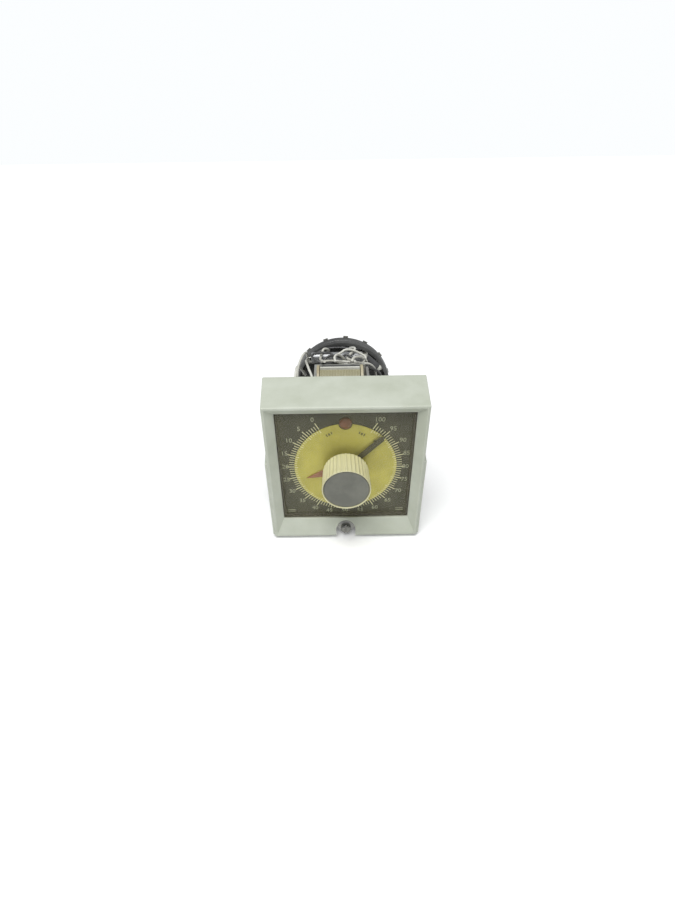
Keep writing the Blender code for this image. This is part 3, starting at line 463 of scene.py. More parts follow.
@dataclass(frozen=True)
class SpunDisc:
    """Metal or plastic faced in a lathe: rings about an axis that runs into the panel."""

    name: str
    colour: Triple
    ring_colour: Triple
    axis_z: float
    roughness: float = 0.4
    metallic: float = 0.0
    rings: float = 900.0

    def make(self) -> bpy.types.Material:
        """The material."""
        recipe = Recipe(self.name)
        wave = recipe.nodes.new("ShaderNodeTexWave")
        wave.wave_type = "RINGS"
        wave.rings_direction = "Y"
        wave.inputs["Scale"].default_value = self.rings
        wave.inputs["Distortion"].default_value = 1.2
        wave.inputs["Detail"].default_value = 2.0
        centred = recipe.mapped((1.0, 1.0, 1.0), offset=(0.0, 0.0, -self.axis_z))
        recipe.links.new(centred, wave.inputs["Vector"])
        cloud = recipe.ramp(recipe.noise(110.0, 4.0), 0.0, 1.0)
        colour = recipe.mix(cloud, self.colour, self.ring_colour)
        colour = recipe.mix(recipe.ramp(wave.outputs["Fac"], 0.0, 0.25, 0.2, 0.9), colour, self.ring_colour)
        gloss = recipe.ramp(recipe.noise(400.0, 3.0), self.roughness - 0.08, self.roughness + 0.1)
        relief = recipe.bump(wave.outputs["Fac"], 0.00001, 0.5)
        return recipe.set(base_color=colour, roughness=gloss, metallic=self.metallic, normal=relief).material


@dataclass(frozen=True)
class ClearSheet:
    """Thin clear sheet, yellowed with age, that lets light through by its alpha."""

    name: str
    colour: Triple
    alpha: float
    roughness: float = 0.06

    def make(self) -> bpy.types.Material:
        """The material."""
        recipe = Recipe(self.name)
        film = recipe.ramp(recipe.noise(60.0, 4.0, 0.6), self.roughness, self.roughness + 0.14)
        smear = recipe.noise(45.0, 3.0, 0.6, recipe.mapped((2.0, 1.0, 0.7), turn=(0.0, 0.6, 0.0)))
        cover = recipe.ramp(smear, self.alpha * 0.8, self.alpha * 1.25)
        relief = recipe.bump(recipe.noise(30.0, 2.0), 0.0001, 0.3)
        recipe.set(base_color=self.colour, roughness=film, alpha=cover, normal=relief)
        recipe.material.surface_render_method = "BLENDED"
        return recipe.material


@dataclass(frozen=True)
class Jewel:
    """Deep coloured plastic with a clear, glossy skin."""

    name: str
    colour: Triple
    deep: Triple

    def make(self) -> bpy.types.Material:
        """The material."""
        recipe = Recipe(self.name)
        colour = recipe.mix(recipe.ramp(recipe.noise(420.0, 3.0), 0.0, 1.0), self.colour, self.deep)
        relief = recipe.bump(recipe.noise(700.0, 2.0), 0.00004, 0.6)
        return recipe.set(base_color=colour, roughness=0.28, coat_weight=0.3, normal=relief).material


@dataclass(frozen=True)
class Wound:
    """Tape or enamelled wire wound round an axis: fine turns along one direction."""

    name: str
    colour: Triple
    gap_colour: Triple
    pitch: float
    roughness: float = 0.35

    def make(self) -> bpy.types.Material:
        """The material."""
        recipe = Recipe(self.name)
        wave = recipe.nodes.new("ShaderNodeTexWave")
        wave.bands_direction = "X"
        wave.inputs["Scale"].default_value = math.tau / 20.0 / self.pitch
        wave.inputs["Distortion"].default_value = 0.6
        wave.inputs["Detail Scale"].default_value = 3.0
        recipe.links.new(recipe.place, wave.inputs["Vector"])
        share = recipe.ramp(wave.outputs["Fac"], 1.0, 0.0, 0.1, 0.6)
        colour = recipe.mix(share, self.colour, self.gap_colour)
        cloud = recipe.ramp(recipe.noise(150.0, 4.0), 0.0, 0.45, 0.4, 0.7)
        colour = recipe.mix(cloud, colour, self.gap_colour)
        relief = recipe.bump(wave.outputs["Fac"], 0.00008, 0.6)
        gloss = recipe.ramp(recipe.noise(300.0), self.roughness - 0.08, self.roughness + 0.12)
        return recipe.set(base_color=colour, roughness=gloss, normal=relief).material


# ---------------------------------------------------------------- the object's finishes
# the last colour of a moulded finish is its lighter outer edges: painted edge highlight, partly rubbed wear
PUTTY = Moulded("bezel_putty", (0.52, 0.55, 0.47), (0.45, 0.48, 0.395), 0.48, 1700.0, 0.00004,
                (0.64, 0.66, 0.58))
BLACK_SPACER = Moulded("spacer_black", (0.02, 0.018, 0.016), (0.035, 0.03, 0.026), 0.5)
PHENOLIC = Moulded("phenolic_black", (0.05, 0.051, 0.051), (0.11, 0.111, 0.107), 0.32, 1200.0, 0.00002,
                   (0.12, 0.12, 0.12))
CREAM = Moulded("knob_cream", (0.62, 0.6, 0.37), (0.52, 0.49, 0.27), 0.42, 1500.0, 0.00002,
                (0.74, 0.72, 0.52))
NYLON = Moulded("nylon_natural", (0.66, 0.63, 0.53), (0.55, 0.5, 0.38), 0.42)
SLEEVE = Moulded("resistor_sleeve", (0.05, 0.052, 0.055), (0.12, 0.12, 0.12), 0.3, 900.0, 0.00003)
INSULATION = Moulded("wire_insulation", (0.68, 0.68, 0.63), (0.52, 0.51, 0.45), 0.4, 900.0, 0.00002)
CERAMIC = Moulded("pale_end", (0.66, 0.66, 0.6), (0.5, 0.5, 0.44), 0.35)
DIAL_PAINT = Painted("dial_paint", (0.03, 0.031, 0.022), (0.1, 0.103, 0.075), 0.5)
HAND_DARK = Painted("hand_dark", (0.05, 0.045, 0.022), (0.14, 0.13, 0.08), 0.4)
HAND_RED = Painted("hand_red", (0.36, 0.13, 0.07), (0.44, 0.24, 0.13), 0.45)
PRINT = Painted("scale_print", (0.95, 0.93, 0.56), (0.78, 0.77, 0.44), 0.6)
LABEL_PRINT = Painted("numeral_print", (0.52, 0.54, 0.38), (0.3, 0.31, 0.22), 0.6)
DARK_PRINT = Painted("dark_print", (0.12, 0.11, 0.03), (0.24, 0.22, 0.07), 0.6)
GOLD = SpunDisc("gold_lacquer", (0.68, 0.62, 0.13), (0.56, 0.5, 0.1), 0.04825, 0.4, 0.35, 2600.0)
CAP_GREY = SpunDisc("cap_grey", (0.2, 0.203, 0.17), (0.145, 0.147, 0.125), 0.04825, 0.42, 0.2, 1900.0)
ZINC = Sheet("zinc_plate", (0.6, 0.61, 0.58), (0.5, 0.49, 0.43), 0.4, metallic=0.75)
BRIGHT = Sheet("bright_steel", (0.66, 0.66, 0.64), (0.54, 0.52, 0.48), 0.28, (14.0, 1.0, 14.0), 0.85)
TINNED = Sheet("tinned_brass", (0.62, 0.62, 0.58), (0.45, 0.42, 0.34), 0.34, (6.0, 1.0, 6.0), 0.85)
SOLDER = Sheet("solder", (0.66, 0.67, 0.66), (0.45, 0.45, 0.44), 0.28, (1.0, 1.0, 1.0))
BLUED = Sheet("dulled_steel", (0.24, 0.24, 0.225), (0.42, 0.41, 0.37), 0.32, (10.0, 10.0, 1.0), 0.8)
BRASS = Sheet("cut_brass", (0.62, 0.46, 0.17), (0.36, 0.25, 0.1), 0.3, (10.0, 10.0, 1.0))
CAN = Sheet("can_aluminium", (0.36, 0.365, 0.37), (0.22, 0.23, 0.24), 0.4, (1.0, 12.0, 12.0), 0.5)
NICKEL = Sheet("nickel_collar", (0.5, 0.5, 0.48), (0.36, 0.36, 0.34), 0.3, (8.0, 8.0, 1.0), 0.4)
DARK_WIRE = Moulded("wire_black", (0.03, 0.03, 0.032), (0.07, 0.07, 0.07), 0.35)
FISH_PAPER = Moulded("tan_board", (0.42, 0.38, 0.26), (0.33, 0.28, 0.17), 0.5)
LENS = ClearSheet("lens_clear", (0.36, 0.34, 0.2), 0.1)
BULB = ClearSheet("bulb_glass", (0.7, 0.7, 0.68), 0.35, 0.03)
LAMP_RED = Jewel("lamp_red", (0.15, 0.028, 0.009), (0.22, 0.05, 0.016))
TAPE = Wound("coil_tape", (0.36, 0.34, 0.22), (0.25, 0.23, 0.14), 0.0009)


class Finishes:
    """Makes each finish once, and dresses CAD nodes and new pieces with it."""

    def __init__(self) -> None:
        """Start with no material made."""
        self.made: dict[str, bpy.types.Material] = {}

    def material(self, finish: object) -> bpy.types.Material:
        """The finish's material, made at its first use."""
        if finish.name not in self.made:
            self.made[finish.name] = finish.make()
        return self.made[finish.name]

    def dress(self, finish: object, *nodes: str) -> None:
        """Give CAD nodes a finish."""
        for node in nodes:
            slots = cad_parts[node].data.materials
            for number in range(len(slots)):
                slots[number] = self.material(finish)
        log.info("dressed %s in %s", ", ".join(nodes), finish.name)

    def place(self, piece: Piece, body: str, slot: str, finish: object, *replaced: str) -> Piece:
        """Dress a new piece and let it ride.

        Args:
            piece: the new piece.
            body: body that it moves with.
            slot: the record's material slot for it; not used.
            finish: its finish.
            replaced: CAD nodes that it stands for.

        Returns:
            The same piece.
        """
        piece.data.materials.clear()
        piece.data.materials.append(self.material(finish))
        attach(piece, body)
        if replaced:
            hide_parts(*replaced)
        log.info("built %s on %s", piece.name, body)
        return piece


# ---------------------------------------------------------------- sub-assemblies
@dataclass
class Housing:
    """Bezel with its window lens, spacer and the captive locking screw."""

    def build(self, finishes: Finishes) -> None:
        """Dress the moulded and metal pieces round the window."""
        finishes.dress(PUTTY, "bezel")
        finishes.dress(LENS, "lens")
        finishes.dress(BLACK_SPACER, "dial_spacer")
        finishes.dress(ZINC, "latch_strap")
        finishes.dress(NICKEL, "locking_washer")
        finishes.dress(BLUED, "locking_screw")


@dataclass
class Dial:
    """Dial plate and gold disc with printed ticks, numerals and plain marks."""

    plate_y: float = 6.55
    gold_y: float = 6.0
    zero_turn: float = 29.3            # degrees left of straight up
    gold_radius: float = 27.6
    tick_inner: float = 26.2
    tick_outer: tuple[float, float] = (30.5, 32.0)
    tick_width: float = 0.34
    label_radius: float = 34.4
    label_size: float = 3.7
    label_limits: tuple[float, float] = (32.5, -29.2)

    def angle(self, value: np.ndarray | float) -> np.ndarray | float:
        """Angle anticlockwise from straight up at which a scale value stands, in radians."""
        return np.radians(self.zero_turn + 3.0 * np.asarray(value))

    def bars(self, inner: np.ndarray, outer: np.ndarray, angle: np.ndarray, width: np.ndarray,
             y_front: float) -> Shape:
        """Thin radial bars from an inner to an outer radius at each angle."""
        radial = np.stack((-np.sin(angle), np.cos(angle)), axis=-1)
        aside = np.stack((np.cos(angle), np.sin(angle)), axis=-1) * width[:, None] / 2
        middle = np.array((0.0, DIAL_Z))
        square = [middle + radial * inner[:, None] - aside, middle + radial * inner[:, None] + aside,
                  middle + radial * outer[:, None] + aside, middle + radial * outer[:, None] - aside]
        flat = np.stack(square, axis=1)
        sheets = [np.stack((flat[..., 0], np.full(flat.shape[:2], y), flat[..., 1]), axis=-1)
                  for y in (y_front, y_front + 0.04)]
        points = np.concatenate(sheets, axis=1).reshape(-1, 3)
        one = np.array(((0, 1, 2, 3), (7, 6, 5, 4), (0, 4, 5, 1), (1, 5, 6, 2), (2, 6, 7, 3), (3, 7, 4, 0)))
        faces = (one[None] + 8 * np.arange(len(angle))[:, None, None]).reshape(-1, 4)
        return points, faces

    def ticks(self) -> Piece:
        """A hundred and one ticks across the disc's edge, each fifth one longer and wider."""
        value = np.arange(101)
        long = value % 5 == 0
        short, full = self.tick_outer
        angle, width = self.angle(value), np.where(long, 1.35, 1.0) * self.tick_width
        edge = np.full(101, self.gold_radius)
        on_disc = self.bars(np.where(long, self.tick_inner - 0.5, self.tick_inner), edge - 0.08, angle, width,
                            self.gold_y - 0.06)
        reach = np.where(long & (np.abs(value - 50) > 5), full, short)
        on_plate = self.bars(edge + 0.08, reach, angle, width, self.plate_y - 0.06)
        return mesh_piece("scale_ticks", *joined([on_disc, on_plate]))

    def numerals(self) -> Piece:
        """Upright numbers at each fifth tick, kept inside the window."""
        shapes = []
        for value in range(0, 101, 5):
            turn = float(self.angle(value))
            x = max(-self.label_limits[0], min(self.label_limits[0], -self.label_radius * math.sin(turn)))
            z = max(self.label_limits[1], DIAL_Z + self.label_radius * math.cos(turn))
            shapes.append(self.number_shape(str(value), x, z))
        return mesh_piece("scale_numerals", *joined(shapes))

    def number_shape(self, words: str, x: float, z: float) -> Shape:
        """Points and triangles of a number centred at a place on the dial."""
        curve = bpy.data.curves.new("number", "FONT")
        curve.body = words
        curve.size = self.label_size
        curve.align_x, curve.align_y = "CENTER", "CENTER"
        curve.extrude = 0.02
        curve.resolution_u = 3
        item = linked("number", curve)
        bpy.context.view_layer.update()
        mesh = bpy.data.meshes.new_from_object(item.evaluated_get(bpy.context.evaluated_depsgraph_get()))
        mesh.calc_loop_triangles()
        flat = np.empty(3 * len(mesh.vertices))
        mesh.vertices.foreach_get("co", flat)
        flat = flat.reshape(-1, 3)
        faces = np.empty(3 * len(mesh.loop_triangles), int)
        mesh.loop_triangles.foreach_get("vertices", faces)
        points = np.column_stack((x + flat[:, 0], self.plate_y - 0.04 - flat[:, 2], z + flat[:, 1]))
        bpy.data.objects.remove(item)
        bpy.data.curves.remove(curve)
        bpy.data.meshes.remove(mesh)
        return points, faces.reshape(-1, 3)

    def corner_lines(self) -> Piece:
        """Plain short rules low in both corners of the dial plate."""
        outlines = [rounded_outline(x, x + 4.4, z, z + 0.35, 0.15, 3)
                    for x in (-33.4, 28.9) for z in (-29.6, -28.4)]
        return mesh_piece("corner_rules", *joined([slab_shape(outline, self.plate_y - 0.06, 0.04, 0.02)
                                                   for outline in outlines]))

    def gold_marks(self) -> Piece:
        """Plain dark marks on the gold disc, to each side of the lamp and beside the scale."""
        middle = np.radians(np.array((25.0, 21.5, 18.0, -18.0, -21.5, -25.0, -42.0)))
        inner = np.array((22.0, 22.3, 22.6, 22.6, 22.3, 22.0, 22.0))
        outer = inner + np.array((1.7, 1.4, 1.5, 1.5, 1.4, 1.7, 1.6))
        width = np.array((0.6, 1.0, 0.6, 0.6, 1.0, 0.6, 1.3))
        return mesh_piece("gold_marks", *self.bars(inner, outer, middle, width, self.gold_y - 0.06))

    def build(self, finishes: Finishes) -> None:
        """Dress the plate and the disc and print on them."""
        finishes.dress(DIAL_PAINT, "dial_plate")
        finishes.dress(GOLD, "gold_disc")
        finishes.place(self.ticks(), "chassis", "dial_grey", PRINT)
        for piece in (self.numerals(), self.corner_lines()):
            finishes.place(piece, "chassis", "dial_grey", LABEL_PRINT)
        finishes.place(self.gold_marks(), "chassis", "gold", DARK_PRINT)


@dataclass
class SettingKnob:
    """Fluted knob with its spun cap, and the shaft and dark hand that turn with it."""

    front_radius: float = 12.7
    back_radius: float = 12.2
    front_y: float = -13.4
    back_y: float = 2.4
    flutes: int = 36
    flute_depth: float = 0.5
    cap_radius: float = 11.6

    def knob(self) -> Piece:
        """The knob: recess, rounded rim, fluted side that narrows to the back, and blind bore."""
        floor = self.front_y + 1.5
        recess = self.cap_radius + 0.3
        inside = [(0.0, floor), (recess - 0.15, floor), (recess, floor - 0.15), (recess, self.front_y + 0.2),
                  (recess + 0.12, self.front_y + 0.04)]
        rim = [(self.front_radius - 0.4, self.front_y), (self.front_radius - 0.2, self.front_y + 0.06),
               (self.front_radius - 0.05, self.front_y + 0.22)]
        share = np.linspace(0.0, 1.0, 22)
        side = np.column_stack((self.front_radius + share * (self.back_radius - self.front_radius),
                                self.front_y + 0.55 + share * (self.back_y - self.front_y - 1.0)))
        behind = [(self.back_radius - 0.2, self.back_y - 0.1), (self.back_radius - 0.5, self.back_y),
                  (1.9, self.back_y), (1.9, -8.2), (0.0, -8.2)]
        profile = np.concatenate((inside, rim, side, behind))
        depth = np.zeros(len(profile))
        start = len(inside)
        depth[start + 1:start + 3] = (0.25 * self.flute_depth, 0.7 * self.flute_depth)
        depth[start + 3:start + 3 + len(side)] = self.flute_depth
        depth[start + 3 + len(side)] = 0.6 * self.flute_depth
        shape = turned_shape(profile, (0.0, 0.0, DIAL_Z), segments=self.flutes * 16,
                             flutes=self.flutes, flute_depth=depth)
        return mesh_piece("fluted_knob", *shape)

    def cap(self) -> Piece:
        """The cap: a shallow dish with a rounded lip."""
        share = np.linspace(0.0, 1.0, 16)
        dish = np.column_stack((share * 10.9, -12.86 - 0.12 * share ** 2))
        lip = [(11.15, -13.06), (11.35, -13.1), (11.52, -13.04), (11.6, -12.88), (11.6, -12.2), (0.0, -12.2)]
        return mesh_piece("spun_cap", *turned_shape(np.concatenate((dish, lip)), (0.0, 0.0, DIAL_Z),
                                                    segments=160))

    def build(self, finishes: Finishes) -> None:
        """Build the knob and its cap and dress what turns with them."""
        finishes.place(self.knob(), "setting", "cream", CREAM, "knob")
        finishes.place(self.cap(), "setting", "grey_disc", CAP_GREY, "knob_cap")
        finishes.dress(BRIGHT, "set_shaft")
        finishes.dress(HAND_DARK, "set_pointer")


@dataclass
class PilotLamp:
    """Red jewel with fine rings, its bulb and holder."""

    z: float = 30.3
    radius: float = 3.3
    apex_y: float = 4.8

    def jewel(self) -> Piece:
        """The jewel: a shallow dome whose surface ripples in four rings, over a hollow stem."""
        share = np.linspace(0.0, 1.0, 60)
        dome = np.column_stack((self.radius * np.sin(share * math.pi / 2),
                                self.apex_y + 1.6 * (1 - np.cos(share * math.pi / 2))
                                + 0.07 * (0.5 - 0.5 * np.cos(share * 8 * math.pi))))
        rest = [(self.radius, 10.0), (self.radius - 0.7, 10.0), (self.radius - 0.7, self.apex_y + 2.6),
                (0.0, self.apex_y + 2.0)]
        return mesh_piece("lamp_jewel", *turned_shape(np.concatenate((dome, rest)), (0.0, 0.0, self.z),
                                                      segments=72))

    def build(self, finishes: Finishes) -> None:
        """Build the jewel and dress what stands behind it."""
        finishes.place(self.jewel(), "chassis", "lamp_red", LAMP_RED, "lamp_lens")
        finishes.dress(BULB, "lamp_bulb")
        finishes.dress(PHENOLIC, "lamp_holder")


@dataclass
class Clockwork:
    """Gears, hands' hub, clock motor, plates, posts and their screws."""

    motor_axis: tuple[float, float] = (0.0, -19.288)
    motor_radius: float = 22.0
    motor_front: float = 29.9
    rear_face: float = 73.2
    posts: tuple[tuple[float, float], ...] = ((-24.0, 20.0), (24.0, 20.0), (-30.0, -32.5), (30.0, -32.5))
    motor_ear: Triple = (14.0, 28.0, -12.0)   # X and Z count from the motor's axis

    def motor(self) -> Piece:
        """The motor can: rounded edges, a crimped bead near the front and a stepped back."""
        front, r = self.motor_front, self.motor_radius
        back = front + 20.0
        bead = np.linspace(0.0, 1.0, 9)
        crimp = np.column_stack((r - 0.35 * np.sin(bead * math.pi), front + 3.0 + 1.6 * bead))
        profile = np.concatenate((
            [(0.0, front + 2.5), (1.5, front + 2.5), (1.5, front), (r - 0.8, front), (r - 0.25, front + 0.25),
             (r, front + 0.8), (r, front + 2.9)], crimp,
            [(r, back - 3.3), (r - 0.25, back - 2.75), (r - 0.8, back - 2.5), (r - 2.4, back - 2.4),
             (r - 2.8, back - 2.1), (r - 3.1, back - 0.7), (r - 3.5, back - 0.15), (r - 4.0, back),
             (9.0, back), (8.7, back - 0.3), (4.2, back - 0.3), (4.0, back), (3.7, back), (3.4, back - 0.5),
             (0.0, back - 0.5)]))
        x, z = self.motor_axis
        return mesh_piece("motor_can", *turned_shape(profile, (x, 0.0, z), segments=144), sharp=30.0)

    def screws(self) -> Piece:
        """Slotted pan heads on the posts behind the rear plate."""
        heads = [slotted_head_shape((x, self.rear_face, z), 2.9, 1.5, back=True, turn=0.5 + 1.3 * n)
                 for n, (x, z) in enumerate(self.posts)]
        return mesh_piece("post_screws", *joined(heads), sharp=30.0)

    def motor_screws(self) -> Piece:
        """Slotted heads on the motor's fixing ears at the gear plate's front face."""
        x, z = self.motor_axis
        aside, depth, up = self.motor_ear
        heads = [slotted_head_shape((x + aside * side, depth, z + up), 2.2, 1.2, turn=0.9 * side)
                 for side in (-1, 1)]
        return mesh_piece("motor_screws", *joined(heads), sharp=30.0)

    def build(self, finishes: Finishes) -> None:
        """Build the motor and screws, and dress the gears, plates and posts."""
        finishes.place(self.motor(), "chassis", "zinc", ZINC, "motor_case")
        finishes.place(self.screws(), "chassis", "bright", BRIGHT)
        finishes.place(self.motor_screws(), "chassis", "bright", BRIGHT)
        finishes.dress(ZINC, "front_plate", "gear_plate", "rear_plate")
        finishes.dress(BRIGHT, "post_top_left", "post_top_right", "post_low_left", "post_low_right",
                       "progress_hub", "intermediate_arbor", "motor_pinion")
        finishes.dress(BRASS, "progress_gear", "intermediate_gear")
        finishes.dress(NYLON, "trip_cam")
        finishes.dress(HAND_RED, "progress_pointer")


@dataclass
class ClutchCoil:
    """Coil with its frame and armature, and the two snap switches."""

    centre: Triple = (-2.0, 56.0, 28.5)
    radius: float = 9.5
    half_length: float = 11.7
    turns: int = 26

    def winding(self) -> Piece:
        """The winding: radius R - 0.18 |sin| along its length, so each turn of tape bulges."""
        share = np.linspace(0.0, 1.0, self.turns * 8 + 1)
        outer = np.column_stack((self.radius - 0.18 * (1 - np.abs(np.sin(share * self.turns * math.pi))),
                                 (2 * share - 1) * self.half_length))
        inner = np.array(((4.8, self.half_length), (4.8, -self.half_length)))
        shape = turned_shape(np.concatenate((outer, inner)), self.centre, axis=Axis.SIDE, segments=80)
        return mesh_piece("tape_winding", *shape)

    def terminal_strip(self) -> Piece:
        """A pale strip along the top of the winding, between the bobbin's flanges: a painted highlight that
        stands for the light along the winding's top.
        """
        outline = rounded_outline(self.centre[0] - 11.6, self.centre[0] + 11.6, 37.3, 38.9, 0.3)
        return mesh_piece("coil_painted_highlight_strip", *slab_shape(outline, 53.4, 1.5))

    def cover(self) -> Piece:
        """A dark sheet over the winding's upper back, an arc from the top to 80 degrees behind it: painted
        shade for the dark gaps behind the winding's top.
        """
        turn = np.radians(np.linspace(-4.0, 80.0, 40))
        radius = np.concatenate((np.full(40, self.radius + 0.3), np.full(40, self.radius + 0.06)))
        turn = np.concatenate((turn, turn[::-1]))
        x = self.centre[0] + np.array((-11.4, -11.3, 11.3, 11.4))
        inset = np.array((0.1, 0.0, 0.0, 0.1))
        size = radius[:, None] - inset[None, :] * np.sign(radius - self.radius - 0.2)[:, None]
        grid = np.stack((np.broadcast_to(x, size.shape),
                         self.centre[1] + size * np.sin(turn)[:, None],
                         self.centre[2] + size * np.cos(turn)[:, None]), axis=-1)
        left, right = (0.5 * (grid[:, [end]] + grid[::-1, [end]]) for end in (0, -1))
        full = np.concatenate((left, grid, right), axis=1)
        return mesh_piece("coil_painted_shade_sheet", full.reshape(-1, 3), grid_faces(80, 6, True, False))

    def build(self, finishes: Finishes) -> None:
        """Build the winding and dress the rest."""
        finishes.place(self.winding(), "chassis", "tape", TAPE, "coil_winding")
        # the pale strip is a painted highlight along the winding's top
        finishes.place(self.terminal_strip(), "chassis", "nylon", CERAMIC)
        # the dark sheet over the winding's upper back is painted shade
        finishes.place(self.cover(), "chassis", "black", DARK_WIRE)
        finishes.dress(FISH_PAPER, "coil_bobbin")
        finishes.dress(BRIGHT, "coil_core", "armature", "armature_spring", "trip_lever", "clutch_lever")
        finishes.dress(ZINC, "coil_frame")
        finishes.dress(PHENOLIC, "trip_switch", "clutch_switch")


@dataclass
class Plug:
    """Round plug with its blades, and the parts wired behind the rear plate."""

    radius: float = 33.1
    z: float = 3.1
    front_y: float = 97.0
    back_y: float = 106.0
    boss_radius: float = 23.0
    wall: float = 2.6
    floor_depth: float = 3.3
    boss_length: float = 3.0
    blades: int = 11
    blade_radius: float = 28.6
    blade_step: float = 24.0           # degrees between blades
    top_blade: int = 6
    top_turn: float = 4.6              # degrees of the top blade from straight up
    post_at: tuple[float, float] = (19.0, -6.0)

    def polar(self, radius: float, number: int) -> tuple[float, float]:
        """Place in X and Z at a radius, in line with a blade."""
        turn = math.radians(self.top_turn + self.blade_step * (number - self.top_blade))
        return radius * math.sin(turn), self.z + radius * math.cos(turn)

    def base(self) -> Piece:
        """The plug: a cup with a stepped rim, and a boss with a shallow recess behind."""
        r, front, back, boss = self.radius, self.front_y, self.back_y, self.boss_radius
        inner, floor, face = r - self.wall, back - self.floor_depth, back + self.boss_length
        profile = [(0.0, floor), (inner - 0.6, floor), (inner - 0.15, floor - 0.2), (inner, floor - 0.7),
                   (inner, front + 0.3), (inner + 0.3, front), (r - 0.5, front), (r - 0.14, front + 0.14),
                   (r, front + 0.5), (r, front + 3.0), (r - 0.3, front + 3.2), (r - 0.3, front + 3.9),
                   (r, front + 4.1), (r, back - 0.5), (r - 0.14, back - 0.14), (r - 0.5, back),
                   (boss + 0.3, back), (boss, back + 0.3), (boss, face - 0.5), (boss - 0.5, face),
                   (boss - 1.2, face), (boss - 1.4, face - 0.6), (0.0, face - 0.6)]
        return mesh_piece("plug_moulding", *turned_shape(np.array(profile), (0.0, 0.0, self.z), segments=176),
                          sharp=30.0)

    def barriers(self) -> Piece:
        """Low ribs between the blades on the plug's back face."""
        shapes = []
        for number in range(1, self.blades + 2):
            x, z = self.polar(1.0, number - 0.5)
            along, aside = np.array((x, z - self.z)), np.array((z - self.z, -x)) * 0.5
            ends = [np.array((0.0, self.z)) + along * reach for reach in (24.2, 32.2)]
            outline = np.array((ends[0] - aside, ends[0] + aside, ends[1] + aside, ends[1] - aside))
            shapes.append(slab_shape(outline, self.back_y - 0.1, 1.3, 0.12))
        return mesh_piece("plug_barriers", *joined(shapes))

    def boss_screws(self) -> Piece:
        """Slotted heads that hold the plug to its two posts, in the boss's recess."""
        x, z = self.post_at
        heads = [slotted_head_shape((side * x, self.back_y + 2.4, self.z + z), 1.7, 0.55, back=True,
                                    turn=1.1 * side) for side in (-1, 1)]
        return mesh_piece("plug_screws", *joined(heads), sharp=30.0)

    def solder(self) -> Piece:
        """A blob of solder on every blade's tab."""
        blobs = []
        for number in range(1, self.blades + 1):
            x, z = self.polar(self.blade_radius - 0.7, number)
            blobs.append(blob_shape((x, 98.9, z), (1.15, 1.35, 1.15), 0.14, 1.7 * number))
        return mesh_piece("solder_blobs", *joined(blobs))

    def capacitor(self) -> Piece:
        """The can: rolled ends and a groove, its side a little uneven."""
        left, right, r = -20.0, 13.0, 3.4
        share = np.linspace(0.0, 1.0, 40)
        side = np.column_stack((r - 0.06 + 0.05 * np.sin(share * 31.0) * np.sin(share * 12.0),
                                left + 1.0 + share * (right - left - 4.0)))
        profile = np.concatenate((
            [(0.0, left + 0.4), (1.9, left + 0.4), (2.1, left), (r - 0.7, left), (r - 0.2, left + 0.25)],
            side,
            [(r - 0.1, right - 2.7), (r - 0.5, right - 2.4), (r - 0.5, right - 2.1), (r - 0.1, right - 1.8),
             (r, right - 1.5), (r - 0.1, right - 0.4), (r - 0.5, right), (2.2, right), (2.0, right - 0.5),
             (0.0, right - 0.5)]))
        return mesh_piece("capacitor_can", *turned_shape(profile, (0.0, 86.0, 30.7), axis=Axis.SIDE,
                                                         segments=96), sharp=35.0)

    def resistor(self) -> tuple[Piece, Piece]:
        """The sleeved body and its two pale ends, along one straight line."""
        start, end = np.array((14.2, 92.6, 28.5)), np.array((25.0, 93.2, 18.5))
        share = np.linspace(0.0, 1.0, 48)
        path = start + (end - start) * share[:, None]
        sleeve = (share > 0.1) & (share < 0.84)
        radius = 2.6 - 0.5 * (2 * share[sleeve] - 0.94) ** 8
        body = mesh_piece("resistor_body", *swept_shape(path[sleeve], radius, 32))
        caps = [swept_shape(path[part], 2.25 - 0.35 * np.abs(np.linspace(-1, 1, part.sum())) ** 6, 32)
                for part in (share <= 0.13, share >= 0.81)]
        return body, mesh_piece("resistor_ends", *joined(caps))

    def build(self, finishes: Finishes) -> None:
        """Build the plug, its solder and the parts on its tabs, and dress the blades."""
        finishes.place(self.base(), "chassis", "black", PHENOLIC, "plug_base")
        finishes.place(self.barriers(), "chassis", "black", PHENOLIC)
        finishes.place(self.boss_screws(), "chassis", "bright", BRIGHT)
        finishes.place(self.solder(), "chassis", "bright", SOLDER)
        finishes.place(self.capacitor(), "chassis", "can_grey", CAN, "capacitor")
        body, ends = self.resistor()
        finishes.place(body, "chassis", "black", SLEEVE, "sleeved_resistor")
        finishes.place(ends, "chassis", "insulation", CERAMIC)
        finishes.dress(TINNED, *(f"contact_{number:02d}" for number in range(1, self.blades + 1)))
        finishes.dress(BRIGHT, "plug_post_left", "plug_post_right")


